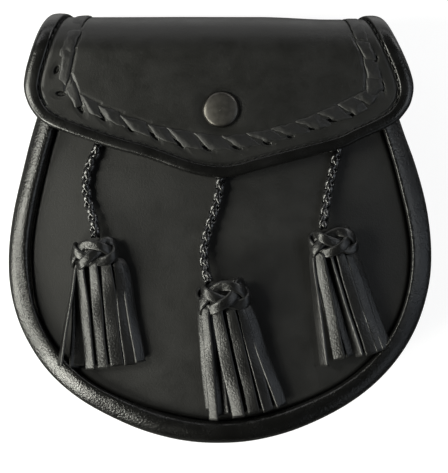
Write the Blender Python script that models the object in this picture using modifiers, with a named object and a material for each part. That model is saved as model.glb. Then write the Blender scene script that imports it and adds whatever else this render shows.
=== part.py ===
"""A leather sporran pouch, lying on its back with its flap fastened.

Metres. +X is the right of the front, +Y the top of the pouch, +Z out of the front.
The origin is on the surface the pouch lies on, under the middle of its outline.
The tables are in millimetres and are turned to metres where they are used.
"""

import math

import bmesh
import bpy
from mathutils import Matrix, Vector

MM = 0.001
GAP = 0.3  # between pieces that touch, in millimetres like every size below

# The pouch, from the back up.
BACK_RIM_WIDTH = 6.0
BACK_RIM_HEIGHT = 7.0
BACK_Z = 3.6
BACK_THICKNESS = 2.4
BACK_TOP_Y = 73.0
MOUTH_Y = 66.0
GUSSET_THICKNESS = 2.0
FRONT_Z = 24.1
FRONT_THICKNESS = 2.4
FRONT_RIM_WIDTH = 9.0
FRONT_RIM_BASE_Z = 23.5
FRONT_RIM_HEIGHT = 8.0
CROWN = 3.0
CROWN_FULLNESS = 1.15
CROWN_HALF = (79.0, 74.0)
CROWN_MID_Y = -7.5

# The flap: its middle surface is flat, then turns over a half ellipse to its tail.
FLAP_THICKNESS = 2.2
FLAP_Z = 34.9
FLAP_CAMBER = 0.7
FLAP_CAMBER_HALF = 80.0
FLAP_LEAN = 1.3  # to the left, above this part of the flap
FLAP_LEAN_ALONG = (58.0, 86.0)
TAIL_Z = 2.2
BEND_Y = 73.0
BEND_REACH = (15.5, 14.5)  # on the left and in the middle, and at the right
BEND_REACH_X = (18.0, 48.0)
BEND_LENGTH = 48.0
FLAP_ROWS = 22
FLAP_COLUMNS = 21
FLAP_RIM_WIDTH = 6.0
FLAP_RIM_HEIGHT = 5.1
FLAP_RIM_RISE = 0.15
FLAP_RIM_END = 113.0
LACING_GAP = 0.5  # wider than GAP, because both pieces are faceted over the bend
LACING_WIDTH = 7.6
LACING_HEIGHT = 1.5

# The press stud.
SNAP = (1.0, 49.9)
CAP_RADIUS = 7.65
CAP_HEIGHT = 3.2
SHANK_RADIUS = 1.7
SHANK_HOLE_RADIUS = 2.1
STUD_RADIUS = 4.5
STUD_FLANGE = 1.2

# The tassels and their cords.
CORD_DIAMETER = 4.0
CORD_HOLE_RADIUS = 2.6
STOP_KNOT_RADIUS = 4.0

# The strap loops on the back.
LOOP_CENTRE = (40.0, 30.0)
LOOP_WIDTH = 16.0

# Half of the pouch's outline, from the top corner down: height, half width.
POUCH_EDGE = (
    (80.0, 64.4),
    (62.0, 70.6),
    (45.0, 76.1),
    (25.0, 82.2),
    (5.0, 86.9),
    (-13.3, 88.4),
    (-32.0, 85.9),
    (-48.0, 79.6),
    (-62.0, 69.0),
    (-73.5, 54.4),
    (-82.5, 35.6),
    (-88.2, 16.5),
    (-90.0, 0.0),
)

# The gusset's wall from back to front: height above the surface, distance inside the outline.
GUSSET_WALL = (
    (7.9, 3.4),
    (11.0, 5.0),
    (15.5, 5.9),
    (20.0, 5.2),
    (22.7, 4.0),
)

# The flap's lower edge from the left corner to the right one: across, up.
FLAP_LOWER = (
    (-76.4, 47.0),
    (-72.6, 43.8),
    (-65.7, 40.6),
    (-54.5, 36.6),
    (-43.5, 33.0),
    (-30.0, 29.2),
    (-16.2, 24.2),
    (-7.8, 21.9),
    (0.8, 21.0),
    (9.0, 22.0),
    (17.4, 24.4),
    (34.2, 28.7),
    (51.0, 33.2),
    (59.4, 37.0),
    (67.8, 40.8),
    (74.0, 44.2),
    (77.2, 47.2),
)

# The flap's sides from their corners up, over the bend and down to the tail: along, how far the
# left side and the right side are from the middle.
FLAP_SIDE = (
    (47.1, 76.5, 77.1),
    (52.2, 79.7, 80.4),
    (58.9, 81.5, 81.7),
    (65.6, 80.6, 80.6),
    (72.3, 78.4, 78.4),
    (80.0, 75.4, 75.4),
    (89.0, 72.0, 72.0),
    (98.0, 68.6, 68.6),
    (107.0, 64.6, 64.6),
    (115.0, 60.8, 60.8),
    (121.0, 58.8, 58.8),
    (132.0, 57.6, 57.6),
)

# The lacing's middle line, from the left end over the bend round to the right end.
LACING_ROUTE = (
    (-50.8, 112.0),
    (-55.6, 100.0),
    (-58.8, 88.0),
    (-62.2, 75.0),
    (-65.4, 62.5),
    (-65.2, 54.8),
    (-59.6, 50.4),
    (-50.0, 47.2),
    (-40.0, 43.8),
    (-30.0, 40.0),
    (-20.0, 36.6),
    (-10.0, 34.0),
    (0.5, 32.8),
    (10.0, 34.0),
    (20.0, 36.4),
    (30.0, 39.2),
    (41.8, 42.9),
    (51.0, 46.6),
    (60.0, 50.6),
    (66.0, 55.6),
    (66.4, 63.0),
    (63.6, 75.0),
    (60.2, 88.0),
    (56.2, 100.0),
    (51.0, 112.0),
)

# The middle lines of the cords, from the stop knots to the tassels: across, up, height.
CORD_ROUTES = {
    "left": (
        (-49.2, 46.9, 20.4),
        (-49.3, 45.3, 22.6),
        (-49.5, 43.4, 24.7),
        (-49.8, 41.2, 26.8),
        (-50.1, 38.7, 28.6),
        (-50.5, 35.8, 29.7),
        (-51.4, 32.4, 29.9),
        (-53.0, 29.0, 29.9),
        (-54.4, 25.4, 30.0),
        (-55.4, 21.4, 30.0),
        (-55.6, 17.4, 30.1),
        (-55.2, 13.4, 30.3),
        (-54.3, 9.6, 30.8),
        (-53.2, 6.0, 31.7),
        (-52.3, 2.6, 32.7),
        (-51.8, -0.8, 33.5),
        (-51.6, -3.4, 33.9),
    ),
    "centre": (
        (1.9, 35.2, 21.4),
        (1.9, 33.8, 23.6),
        (1.8, 32.0, 25.8),
        (1.7, 29.8, 28.1),
        (1.6, 27.0, 30.2),
        (1.4, 23.6, 31.2),
        (0.9, 19.6, 31.4),
        (0.2, 15.0, 31.6),
        (-0.8, 10.4, 31.8),
        (-2.4, 5.2, 31.9),
        (-4.1, 0.2, 32.0),
        (-5.4, -4.8, 32.1),
        (-6.1, -9.6, 32.4),
        (-6.0, -14.0, 33.2),
        (-5.3, -18.2, 34.5),
        (-4.6, -20.8, 35.4),
        (-3.8, -22.4, 35.8),
    ),
    "right": (
        (50.6, 45.9, 20.4),
        (50.6, 44.3, 22.6),
        (50.6, 42.4, 24.7),
        (50.5, 40.2, 26.8),
        (50.5, 37.7, 28.6),
        (50.3, 34.8, 29.7),
        (49.7, 31.2, 29.9),
        (48.8, 27.4, 30.0),
        (47.8, 23.2, 30.1),
        (46.8, 18.8, 30.2),
        (46.0, 14.6, 30.3),
        (45.4, 10.6, 30.6),
        (44.8, 7.2, 31.4),
        (44.3, 3.8, 32.6),
        (44.0, 1.8, 33.3),
        (43.9, 0.3, 33.7),
    ),
}

# Each tassel: the knot's middle, the point it runs towards, the scale of the knot, the middle of
# the fringe's end, the end's half width.
TASSELS = {
    "left": ((-52.0, -10.4), (-43.6, -56.6), 0.92, (-46.0, -57.0), 14.4),
    "centre": ((1.9, -28.6), (10.6, -75.6), 1.02, (11.2, -76.4), 16.6),
    "right": ((47.8, -6.0), (54.6, -51.6), 0.92, (55.8, -52.0), 12.4),
}

# The knot's sections along the tassel: distance from its middle, half width, half depth.
KNOT_SECTIONS = (
    (-6.2, 4.6, 3.2),
    (-5.0, 7.8, 5.0),
    (-2.4, 10.2, 6.2),
    (1.0, 11.0, 6.5),
    (4.4, 10.2, 6.2),
    (6.2, 8.8, 5.6),
)

# The fringe's sections: share of its length, share of the end's half width, half depth.
FRINGE_SECTIONS = (
    (0.0, 0.58, 5.3),
    (0.12, 0.66, 5.4),
    (0.4, 0.8, 4.8),
    (0.7, 0.92, 4.1),
    (1.0, 1.0, 3.4),
)

# The loop's side view: along the pouch, height. It bridges a flat slot for the strap.
LOOP_SIDE = (
    (-28.0, 3.3),
    (-28.0, 1.8),
    (-20.6, 1.8),
    (-18.5, 0.0),
    (18.5, 0.0),
    (20.6, 1.8),
    (28.0, 1.8),
    (28.0, 3.3),
    (19.9, 3.3),
    (17.8, 1.5),
    (-17.8, 1.5),
    (-19.9, 3.3),
)

# Colour, roughness and metallic value of each material.
MATERIALS = {
    "leather": ((0.026, 0.026, 0.023), 0.52, 0.0),
    "rim_leather": ((0.02, 0.02, 0.019), 0.4, 0.0),
    "thong_leather": ((0.018, 0.018, 0.018), 0.38, 0.0),
    "braid": ((0.008, 0.008, 0.009), 0.22, 0.0),
    "gunmetal": ((0.16, 0.16, 0.165), 0.3, 1.0),
}


def material(name):
    """The Principled material of this name, made once."""
    if name in bpy.data.materials:
        return bpy.data.materials[name]
    colour, roughness, metallic = MATERIALS[name]
    made = bpy.data.materials.new(name)
    made.use_nodes = True
    shader = made.node_tree.nodes["Principled BSDF"]
    shader.inputs["Base Color"].default_value = (*colour, 1.0)
    shader.inputs["Roughness"].default_value = roughness
    shader.inputs["Metallic"].default_value = metallic
    return made


def new_collection(name):
    made = bpy.data.collections.new(name)
    bpy.context.scene.collection.children.link(made)
    return made


def place(name, data, material_name):
    """A new object of the pouch, from a mesh or a curve."""
    obj = bpy.data.objects.new(name, data)
    PARTS.objects.link(obj)
    data.materials.append(material(material_name))
    return obj


def guide(name, data):
    """A cutter or a profile, which isn't part of the pouch."""
    obj = bpy.data.objects.new(name, data)
    GUIDES.objects.link(obj)
    obj.hide_render = True
    obj.display_type = "WIRE"
    return obj


def smooth(points, steps=8):
    """A smooth curve through the points, with this many steps between two of them."""
    rows = [Vector(point) for point in points]
    rows = [2 * rows[0] - rows[1], *rows, 2 * rows[-1] - rows[-2]]
    curve = []
    for a, b, c, d in zip(rows, rows[1:], rows[2:], rows[3:]):
        for step in range(steps):
            t = step / steps
            pull = (2 * a - 5 * b + 4 * c - d) * t * t + (3 * b - a - 3 * c + d) * t**3
            curve.append(b + 0.5 * ((c - a) * t + pull))
    return [*curve, rows[-2]]


def evenly(points, count):
    """This many points at even distances along the polyline."""
    reach = [0.0]
    for a, b in zip(points, points[1:]):
        reach.append(reach[-1] + (b - a).length)
    found = []
    at = 0
    for index in range(count):
        goal = reach[-1] * index / (count - 1)
        while at < len(points) - 2 and reach[at + 1] < goal:
            at += 1
        span = reach[at + 1] - reach[at]
        found.append(points[at].lerp(points[at + 1], (goal - reach[at]) / span))
    return found


def inward(points):
    """The unit normals on the left of the path's direction, in its plane."""
    normals = []
    for index in range(len(points)):
        before = points[max(index - 1, 0)]
        after = points[min(index + 1, len(points) - 1)]
        run = (after - before).normalized()
        normals.append(Vector((-run.y, run.x)))
    return normals


def moved_in(points, distance):
    return [p + n * distance for p, n in zip(points, inward(points))]


def pouch_path(inset, top, count):
    """The pouch's outline from its top left, under it and up to its top right, moved in."""
    left = [(-half, up) for up, half in POUCH_EDGE]
    right = [(half, up) for up, half in reversed(POUCH_EDGE[:-1])]
    path = moved_in(smooth(left + right), inset)
    kept = [point for point in path if point.y < top]
    first = path.index(kept[0])
    last = path.index(kept[-1])
    for at, edge, inside in ((0, first - 1, first), (len(kept) + 1, last + 1, last)):
        a, b = path[edge], path[inside]
        kept.insert(at, b.lerp(a, (top - b.y) / (a.y - b.y)))
    return evenly(kept, count)


def crown(x, y):
    """How far the front panel swells above its edge."""
    away = (x / CROWN_HALF[0]) ** 2 + ((y - CROWN_MID_Y) / CROWN_HALF[1]) ** 2
    return CROWN * (1 - min(away, 1.0)) ** CROWN_FULLNESS


def ease(value, span):
    """Rises softly from 0 to 1 over this span of values."""
    share = min(max((value - span[0]) / (span[1] - span[0]), 0.0), 1.0)
    return share * share * (3 - 2 * share)


def fold(x, along, height=0.0):
    """Where a point of the flap's flat pattern is, at a height above its middle surface."""
    turn = min(max((along - BEND_Y) / BEND_LENGTH, 0.0), 1.0) * math.pi
    camber = FLAP_CAMBER * (1 - (x / FLAP_CAMBER_HALF) ** 2) * math.cos(turn / 2) ** 2
    centre = (FLAP_Z + TAIL_Z) / 2
    rise = (FLAP_Z - TAIL_Z) / 2
    reach = BEND_REACH[0] + (BEND_REACH[1] - BEND_REACH[0]) * ease(x, BEND_REACH_X)
    y = BEND_Y + reach * math.sin(turn)
    y += min(along - BEND_Y, 0.0) - max(along - BEND_Y - BEND_LENGTH, 0.0)
    normal = Vector((0.0, rise * math.sin(turn), reach * math.cos(turn))).normalized()
    across = x - FLAP_LEAN * ease(along, FLAP_LEAN_ALONG)
    return Vector((across, y, centre + rise * math.cos(turn) + camber)) + normal * height


def flat_plate(name, outline, low, thickness, material_name):
    """A plate of an outline's shape, as a filled curve."""
    curve = bpy.data.curves.new(name, "CURVE")
    curve.dimensions = "2D"
    curve.fill_mode = "BOTH"
    curve.extrude = thickness / 2 * MM
    spline = curve.splines.new("POLY")
    spline.points.add(len(outline) - 1)
    for point, (x, y) in zip(spline.points, outline):
        point.co = (x * MM, y * MM, 0.0, 1.0)
    spline.use_cyclic_u = True
    obj = place(name, curve, material_name)
    obj.location.z = (low + thickness / 2) * MM
    return obj


def poly_curve(name, points, cyclic=False):
    """A curve object's data, straight from point to point."""
    curve = bpy.data.curves.new(name, "CURVE")
    curve.dimensions = "3D"
    spline = curve.splines.new("POLY")
    spline.points.add(len(points) - 1)
    for point, place_at in zip(spline.points, points):
        point.co = (*(Vector(place_at) * MM), 1.0)
    spline.use_cyclic_u = cyclic
    return curve


def roll(name, path, width, low, height, flat, sides):
    """A padded roll along a level path, its section an oval with a flattened underside."""
    section = []
    for index in range(sides):
        angle = -2 * math.pi * index / sides
        up = max(math.sin(angle), -flat) * height / (1 + flat)
        section.append((math.cos(angle) * width / 2, up, 0.0))
    curve = poly_curve(name, [(p.x, p.y, low + height * flat / (1 + flat)) for p in path])
    curve.twist_mode = "Z_UP"
    curve.bevel_mode = "OBJECT"
    curve.bevel_object = guide(name + "_section", poly_curve(name + "_section", section, True))
    curve.use_fill_caps = True
    return place(name, curve, "rim_leather")


def sheet(name, rows, thickness, material_name):
    """A leather wall: an open grid of points, given its thickness on both sides."""
    mesh = bpy.data.meshes.new(name)
    shape = bmesh.new()
    grid = [[shape.verts.new(point * MM) for point in row] for row in rows]
    for low, high in zip(grid, grid[1:]):
        for a, b, c, d in zip(low, low[1:], high[1:], high):
            shape.faces.new((a, b, c, d))
    shape.to_mesh(mesh)
    shape.free()
    obj = place(name, mesh, material_name)
    wall = obj.modifiers.new("wall", "SOLIDIFY")
    wall.thickness = thickness * MM
    wall.offset = 0.0
    wall.use_even_offset = True
    mesh.shade_smooth()
    return obj


def loft(name, rings, material_name):
    """A closed body through unlike sections, each a ring of as many points."""
    mesh = bpy.data.meshes.new(name)
    shape = bmesh.new()
    loops = [[shape.verts.new(Vector(point) * MM) for point in ring] for ring in rings]
    for low, high in zip(loops, loops[1:]):
        for index in range(len(low)):
            after = (index + 1) % len(low)
            shape.faces.new((low[index], low[after], high[after], high[index]))
    shape.faces.new(reversed(loops[0]))
    shape.faces.new(loops[-1])
    bmesh.ops.recalc_face_normals(shape, faces=shape.faces)
    shape.to_mesh(mesh)
    shape.free()
    mesh.shade_smooth()
    mesh.set_sharp_from_angle(angle=math.radians(50))
    return place(name, mesh, material_name)


def turned(name, profile, centre, material_name):
    """A turned piece: rows of radius and height, top to bottom down its outer side."""
    mesh = bpy.data.meshes.new(name)
    points = [(radius * MM, 0.0, height * MM) for radius, height in profile]
    mesh.from_pydata(points, [(at, at + 1) for at in range(len(points) - 1)], [])
    obj = place(name, mesh, material_name)
    obj.location = (centre[0] * MM, centre[1] * MM, 0.0)
    screw = obj.modifiers.new("turn", "SCREW")
    screw.steps = screw.render_steps = 24
    screw.use_merge_vertices = True
    screw.merge_threshold = 0.00001
    return obj


def drill(target, centre, direction, radius):
    """Cuts a round hole through a piece, along a direction."""
    mesh = bpy.data.meshes.new(target.name + "_cutter")
    shape = bmesh.new()
    turn = Vector(direction).to_track_quat("Z", "Y").to_matrix().to_4x4()
    where = Matrix.Translation(Vector(centre) * MM) @ turn
    size = {"radius1": radius * MM, "radius2": radius * MM, "depth": 16 * MM}
    bmesh.ops.create_cone(shape, cap_ends=True, segments=16, matrix=where, **size)
    shape.to_mesh(mesh)
    shape.free()
    cut = target.modifiers.new("hole", "BOOLEAN")
    cut.operation = "DIFFERENCE"
    cut.solver = "EXACT"
    cut.object = guide(mesh.name, mesh)


def make_back():
    plate = pouch_path(BACK_RIM_WIDTH + GAP, BACK_TOP_Y, 48)
    flat_plate("back_panel", plate, BACK_Z, BACK_THICKNESS, "leather")
    edge = pouch_path(BACK_RIM_WIDTH / 2, BACK_TOP_Y, 52)
    roll("back_rim", edge, BACK_RIM_WIDTH, 0.0, BACK_RIM_HEIGHT, 0.8, 8)


def make_gusset():
    rows = []
    for height, inset in GUSSET_WALL:
        path = pouch_path(inset + GUSSET_THICKNESS / 2, MOUTH_Y, 48)
        rows.append([Vector((p.x, p.y, height)) for p in path])
    sheet("gusset", rows, GUSSET_THICKNESS, "leather")


def make_front():
    """The crowned panel is a fan of rows from its outline in to its middle."""
    outline = pouch_path(FRONT_RIM_WIDTH + GAP, MOUTH_Y, 45)
    corner, other = outline[-1], outline[0]
    top = [corner.lerp(other, step / 8) for step in range(1, 8)]
    edge = outline + top
    middle = Vector((0.0, CROWN_MID_Y))
    rows = []
    for share in (1.0, 0.82, 0.6, 0.35, 0.08):
        ring = [middle.lerp(point, share) for point in edge]
        ring.append(ring[0])
        height = FRONT_Z + FRONT_THICKNESS / 2
        rows.append([Vector((p.x, p.y, height + crown(p.x, p.y))) for p in ring])
    panel = sheet("front_panel", rows, FRONT_THICKNESS, "leather")
    close_fan(panel.data)
    for route in CORD_ROUTES.values():
        drill(panel, route[3], Vector(route[4]) - Vector(route[2]), CORD_HOLE_RADIUS)
    drill(panel, (*SNAP, FRONT_Z), (0, 0, 1), SHANK_HOLE_RADIUS)
    path = pouch_path(FRONT_RIM_WIDTH / 2, MOUTH_Y, 64)
    roll("front_rim", path, FRONT_RIM_WIDTH, FRONT_RIM_BASE_Z, FRONT_RIM_HEIGHT, 0.85, 10)


def close_fan(mesh):
    """Joins a fan's first and last columns and fills its middle."""
    shape = bmesh.new()
    shape.from_mesh(mesh)
    bmesh.ops.remove_doubles(shape, verts=shape.verts, dist=0.00001)
    open_edges = [edge for edge in shape.edges if edge.is_boundary]
    inner = [edge for edge in open_edges if edge.verts[0].co.xy.length < 0.02]
    bmesh.ops.contextual_create(shape, geom=inner)
    bmesh.ops.recalc_face_normals(shape, faces=shape.faces)
    shape.to_mesh(mesh)
    shape.free()
    mesh.shade_smooth()


def flap_edge(inset):
    """The flap's edge in its flat pattern, moved in: its left side, lower edge and right side."""
    right = [(away, along) for along, _, away in FLAP_SIDE]
    left = [(-away, along) for along, away, _ in reversed(FLAP_SIDE)]
    whole = [*left[:-1], *FLAP_LOWER, *right[1:]]
    return moved_in(smooth(whole), inset)


def make_flap():
    """The sheet fills in the pattern between its left side, lower edge, right side and tail."""
    edge = flap_edge(FLAP_RIM_WIDTH + GAP)
    side = (len(FLAP_SIDE) - 1) * 8
    left = evenly(edge[: side + 1], FLAP_ROWS)
    lower = evenly(edge[side:-side], FLAP_COLUMNS)
    right = evenly(edge[-side - 1 :][::-1], FLAP_ROWS)
    rows = []
    for r in range(FLAP_ROWS):
        v = r / (FLAP_ROWS - 1)
        row = []
        for c in range(FLAP_COLUMNS):
            u = c / (FLAP_COLUMNS - 1)
            across = left[r].lerp(right[r], u)
            straight = left[-1].lerp(right[-1], u)
            row.append(fold(*(across + (lower[c] - straight) * v)))
        rows.append(row)
    flap = sheet("flap", rows, FLAP_THICKNESS, "leather")
    drill(flap, fold(*SNAP), (0, 0, 1), SHANK_HOLE_RADIUS)


def make_flap_rim():
    edge = [point for point in flap_edge(0.0) if point.y < FLAP_RIM_END]
    edge = evenly(edge, 76)
    rings = []
    for point, normal in zip(edge, inward(edge)):
        ring = []
        for index in range(8):
            angle = 2 * math.pi * (index + 0.5) / 8
            across = point + normal * (1 + math.cos(angle)) * FLAP_RIM_WIDTH / 2
            height = FLAP_RIM_RISE + math.sin(angle) * FLAP_RIM_HEIGHT / 2
            ring.append(fold(*across, height))
        rings.append(ring)
    loft("flap_rim", rings, "rim_leather")


def make_lacing():
    """One low band along the thong's route. Its two lower corners lie on the flap."""
    route = evenly(smooth(LACING_ROUTE), 64)
    base = FLAP_THICKNESS / 2 + LACING_GAP
    section = ((-0.5, 0.0), (0.5, 0.0), (0.4, 0.7), (0.15, 1.0), (-0.15, 1.0), (-0.4, 0.7))
    rings = []
    for point, normal in zip(route, inward(route)):
        ring = []
        for across, up in section:
            at = point + normal * across * LACING_WIDTH
            ring.append(fold(*at, base + up * LACING_HEIGHT))
        rings.append(ring)
    loft("flap_lacing", rings, "thong_leather")


def make_snap():
    """The domed cap holds the flap by its shank, and the stud under it holds the panel."""
    mid = fold(*SNAP).z
    base = mid + FLAP_THICKNESS / 2 + GAP
    under = mid - FLAP_THICKNESS / 2
    dome = [(0.0, base + CAP_HEIGHT)]
    for step in range(1, 6):
        share = step / 6
        height = base + 0.6 + (CAP_HEIGHT - 0.6) * (1 - share**2.4)
        dome.append((CAP_RADIUS * share, height))
    rim = [(CAP_RADIUS, base + 0.7), (CAP_RADIUS, base + 0.2), (CAP_RADIUS - 0.4, base)]
    shank = [(SHANK_RADIUS, base), (SHANK_RADIUS, under), (0.0, under)]
    turned("snap_cap", dome + rim + shank, SNAP, "gunmetal")
    panel_back = FRONT_Z + crown(*SNAP)
    panel_front = panel_back + FRONT_THICKNESS
    stud = [
        (0.0, under - GAP),
        (STUD_RADIUS, under - GAP),
        (STUD_RADIUS, panel_front + GAP),
        (SHANK_RADIUS, panel_front + GAP),
        (SHANK_RADIUS, panel_back - GAP),
        (STUD_RADIUS, panel_back - GAP),
        (STUD_RADIUS, panel_back - GAP - STUD_FLANGE),
        (0.0, panel_back - GAP - STUD_FLANGE),
    ]
    turned("snap_stud", stud, SNAP, "gunmetal")


def make_cord(side, route):
    """A round cord from its stop knot behind the panel, through the hole, to its tassel."""
    points = evenly(smooth(route), 26)
    curve = poly_curve("tassel_cord_" + side, points)
    curve.bevel_depth = CORD_DIAMETER / 2 * MM
    curve.bevel_resolution = 2
    curve.use_fill_caps = True
    place(curve.name, curve, "braid")
    start = points[0]
    away = (start - points[1]).normalized() * (STOP_KNOT_RADIUS + GAP)
    knot = bpy.data.meshes.new("stop_knot_" + side)
    shape = bmesh.new()
    bmesh.ops.create_uvsphere(shape, u_segments=8, v_segments=6, radius=STOP_KNOT_RADIUS * MM)
    shape.to_mesh(knot)
    shape.free()
    knot.shade_smooth()
    obj = place(knot.name, knot, "braid")
    obj.location = (start + away) * MM


def oval(centre, across, half_width, half_depth, count=16):
    """A level section of a tassel: an oval with full sides."""
    ring = []
    for index in range(count):
        angle = 2 * math.pi * index / count
        c, s = math.cos(angle), math.sin(angle)
        side = math.copysign(abs(c) ** 0.8, c) * half_width
        up = math.copysign(abs(s) ** 0.8, s) * half_depth
        ring.append(centre + across * side + Vector((0.0, 0.0, up)))
    return ring


def make_tassel(side, knot, goal, scale, end, end_half):
    """The knot and the fringe lie on the front panel; the fringe may hang a little askew."""
    middle, tip = Vector(knot), Vector(end)
    line = (Vector(goal) - middle).normalized()
    across = Vector((-line.y, line.x, 0.0))
    surface = FRONT_Z + FRONT_THICKNESS + GAP
    rings = []
    for distance, half_width, half_depth in KNOT_SECTIONS:
        at = middle + line * distance * scale
        height = surface + crown(*middle) + KNOT_SECTIONS[3][2] * scale
        centre = Vector((at.x, at.y, height))
        rings.append(oval(centre, across, half_width * scale, half_depth * scale))
    loft("tassel_knot_" + side, rings, "thong_leather")
    start = middle + line * (KNOT_SECTIONS[-1][0] * scale + GAP)
    rings = []
    for share, width_share, half_depth in FRINGE_SECTIONS:
        at = start.lerp(tip, share)
        centre = Vector((at.x, at.y, surface + crown(*at) + GAP + half_depth))
        rings.append(oval(centre, across, end_half * width_share, half_depth))
    loft("tassel_fringe_" + side, rings, "thong_leather")


def make_loop(side, sign):
    """A strap loop: its side view, as wide as the loop, turned to stand along the pouch."""
    obj = flat_plate("strap_loop_" + side, LOOP_SIDE, 0.0, LOOP_WIDTH, "leather")
    across = Vector((0, 1, 0)), Vector((0, 0, 1)), Vector((1, 0, 0))
    obj.rotation_euler = Matrix(across).transposed().to_euler()
    obj.location = (sign * LOOP_CENTRE[0] * MM, LOOP_CENTRE[1] * MM, 0.0)


for old in list(bpy.data.objects):
    bpy.data.objects.remove(old)
PARTS = new_collection("sporran_pouch")
GUIDES = new_collection("guides")

make_back()
make_gusset()
make_front()
make_flap()
make_flap_rim()
make_lacing()
make_snap()
for cord_side, cord_route in CORD_ROUTES.items():
    make_cord(cord_side, cord_route)
for tassel_side, row in TASSELS.items():
    make_tassel(tassel_side, *row)
make_loop("left", -1)
make_loop("right", 1)
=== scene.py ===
"""The looks of a black leather sporran pouch, lying on its back with its flap fastened.

Metres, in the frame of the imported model: +X is the right of the front, +Y its top and +Z out of
the front. The flap and all that is on it are laid out in its flat pattern, across and along, and
then folded over the pouch.
"""
import math

import bmesh
import bpy
import numpy as np
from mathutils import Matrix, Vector, noise
from mathutils.kdtree import KDTree


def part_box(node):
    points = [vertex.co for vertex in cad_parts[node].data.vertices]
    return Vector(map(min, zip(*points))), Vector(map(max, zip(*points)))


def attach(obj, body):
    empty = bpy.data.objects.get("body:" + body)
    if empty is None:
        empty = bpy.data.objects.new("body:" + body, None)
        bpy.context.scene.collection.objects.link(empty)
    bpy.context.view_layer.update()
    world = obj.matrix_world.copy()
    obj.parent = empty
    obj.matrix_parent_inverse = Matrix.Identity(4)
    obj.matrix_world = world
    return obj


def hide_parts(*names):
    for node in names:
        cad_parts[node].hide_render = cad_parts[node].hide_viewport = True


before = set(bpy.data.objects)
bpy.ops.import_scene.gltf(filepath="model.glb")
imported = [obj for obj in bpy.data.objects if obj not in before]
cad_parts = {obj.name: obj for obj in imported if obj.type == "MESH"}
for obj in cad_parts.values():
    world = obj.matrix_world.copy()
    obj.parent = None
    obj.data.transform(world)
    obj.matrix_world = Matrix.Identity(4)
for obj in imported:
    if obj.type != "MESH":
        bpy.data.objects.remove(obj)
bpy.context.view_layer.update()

MM = 0.001
GAP = 0.0003
UP = (0.0, 0.0, 1.0)
DOWN = (0.0, 0.0, -1.0)

# The photograph's frame, and how much of the pouch one of its pixels covers.
IMAGE_WIDTH = 448
PIXEL_SIZE = 0.00042
SEEN_HEIGHT = 0.031
CAMERA_PLACE = (0.00231, -0.00347, 1.2)
SENSOR_WIDTH = 36.0

# The pouch, from the back up.
BACK_RIM_WIDTH = 0.006
BACK_RIM_HEIGHT = 0.007
BACK_Z = 0.0036
BACK_TOP_Y = 0.073
MOUTH_Y = 0.066
GUSSET_THICKNESS = 0.002
GUSSET_MIDDLE_Z = 0.0153
GUSSET_HALF_HEIGHT = 0.0074
GUSSET_PUCKER = 0.0009
FRONT_Z = 0.0241
FRONT_THICKNESS = 0.0024
FRONT_RIM_BASE_Z = 0.0235
FRONT_RIM_HEIGHT = 0.0079
CROWN = 0.003
CROWN_FULLNESS = 1.15
CROWN_HALF = (0.079, 0.074)
CROWN_MID_Y = -0.0075
PANEL_LIP = (0.0010, 0.0016)  # how deep and how wide

# The flap: its middle surface is flat, then turns over a half ellipse to its tail.
FLAP_THICKNESS = 0.0022
FLAP_Z = 0.0349
FLAP_CAMBER = 0.0007
FLAP_CAMBER_HALF = 0.080
FLAP_LEAN = 0.0013
FLAP_LEAN_ALONG = (0.058, 0.086)
TAIL_Z = 0.0022
BEND_Y = 0.073
BEND_REACH = (0.0155, 0.0145)
BEND_REACH_X = (0.018, 0.048)
BEND_LENGTH = 0.048
FLAP_RIM_HEIGHT = 0.0051
FLAP_RIM_RISE = 0.00015
FLAP_RIM_END = 0.113
FLAP_TUCK = 0.0004  # the edge of its leather goes this far under the rim

# How far things press the flap in: a slit, the dip round it, the inner edge of a strand, the
# groove beside the rim and the dish round the stud.
SLIT_DEPTH = 0.0019
SLIT_DIP = 0.00022
VALLEY_DEPTH = 0.00055
VALLEY_HALF = 0.0011
GROOVE_INSET = 0.0004
GROOVE_DEPTH = 0.0008
GROOVE_HALF = 0.001
DISH_DEPTH = 0.0005
DISH_RADIUS = 0.0125

# The press stud.
SNAP = (0.001, 0.0499)
CAP_RADIUS = 0.00765
CAP_HEIGHT = 0.0032
CAP_LOW = 0.0003
CAP_SUNK = 0.0003
SHANK_RADIUS = 0.0017
SHANK_HOLE_RADIUS = 0.0021

# The cords and what is on them.
CORD_HOLE_RADIUS = 0.0026
PUNCH_LENGTH = 0.016  # of the tool that cuts this hole and the shank's
STOP_KNOT_RADIUS = 0.004

# Half of the pouch's outline, from the top corner down: height, half width.
POUCH_EDGE = (
    (0.0800, 0.0644), (0.0620, 0.0706), (0.0450, 0.0761), (0.0250, 0.0822), (0.0050, 0.0869),
    (-0.0133, 0.0884), (-0.0320, 0.0859), (-0.0480, 0.0796), (-0.0620, 0.0690), (-0.0735, 0.0544),
    (-0.0825, 0.0356), (-0.0882, 0.0165), (-0.0900, 0.0),
)

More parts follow.
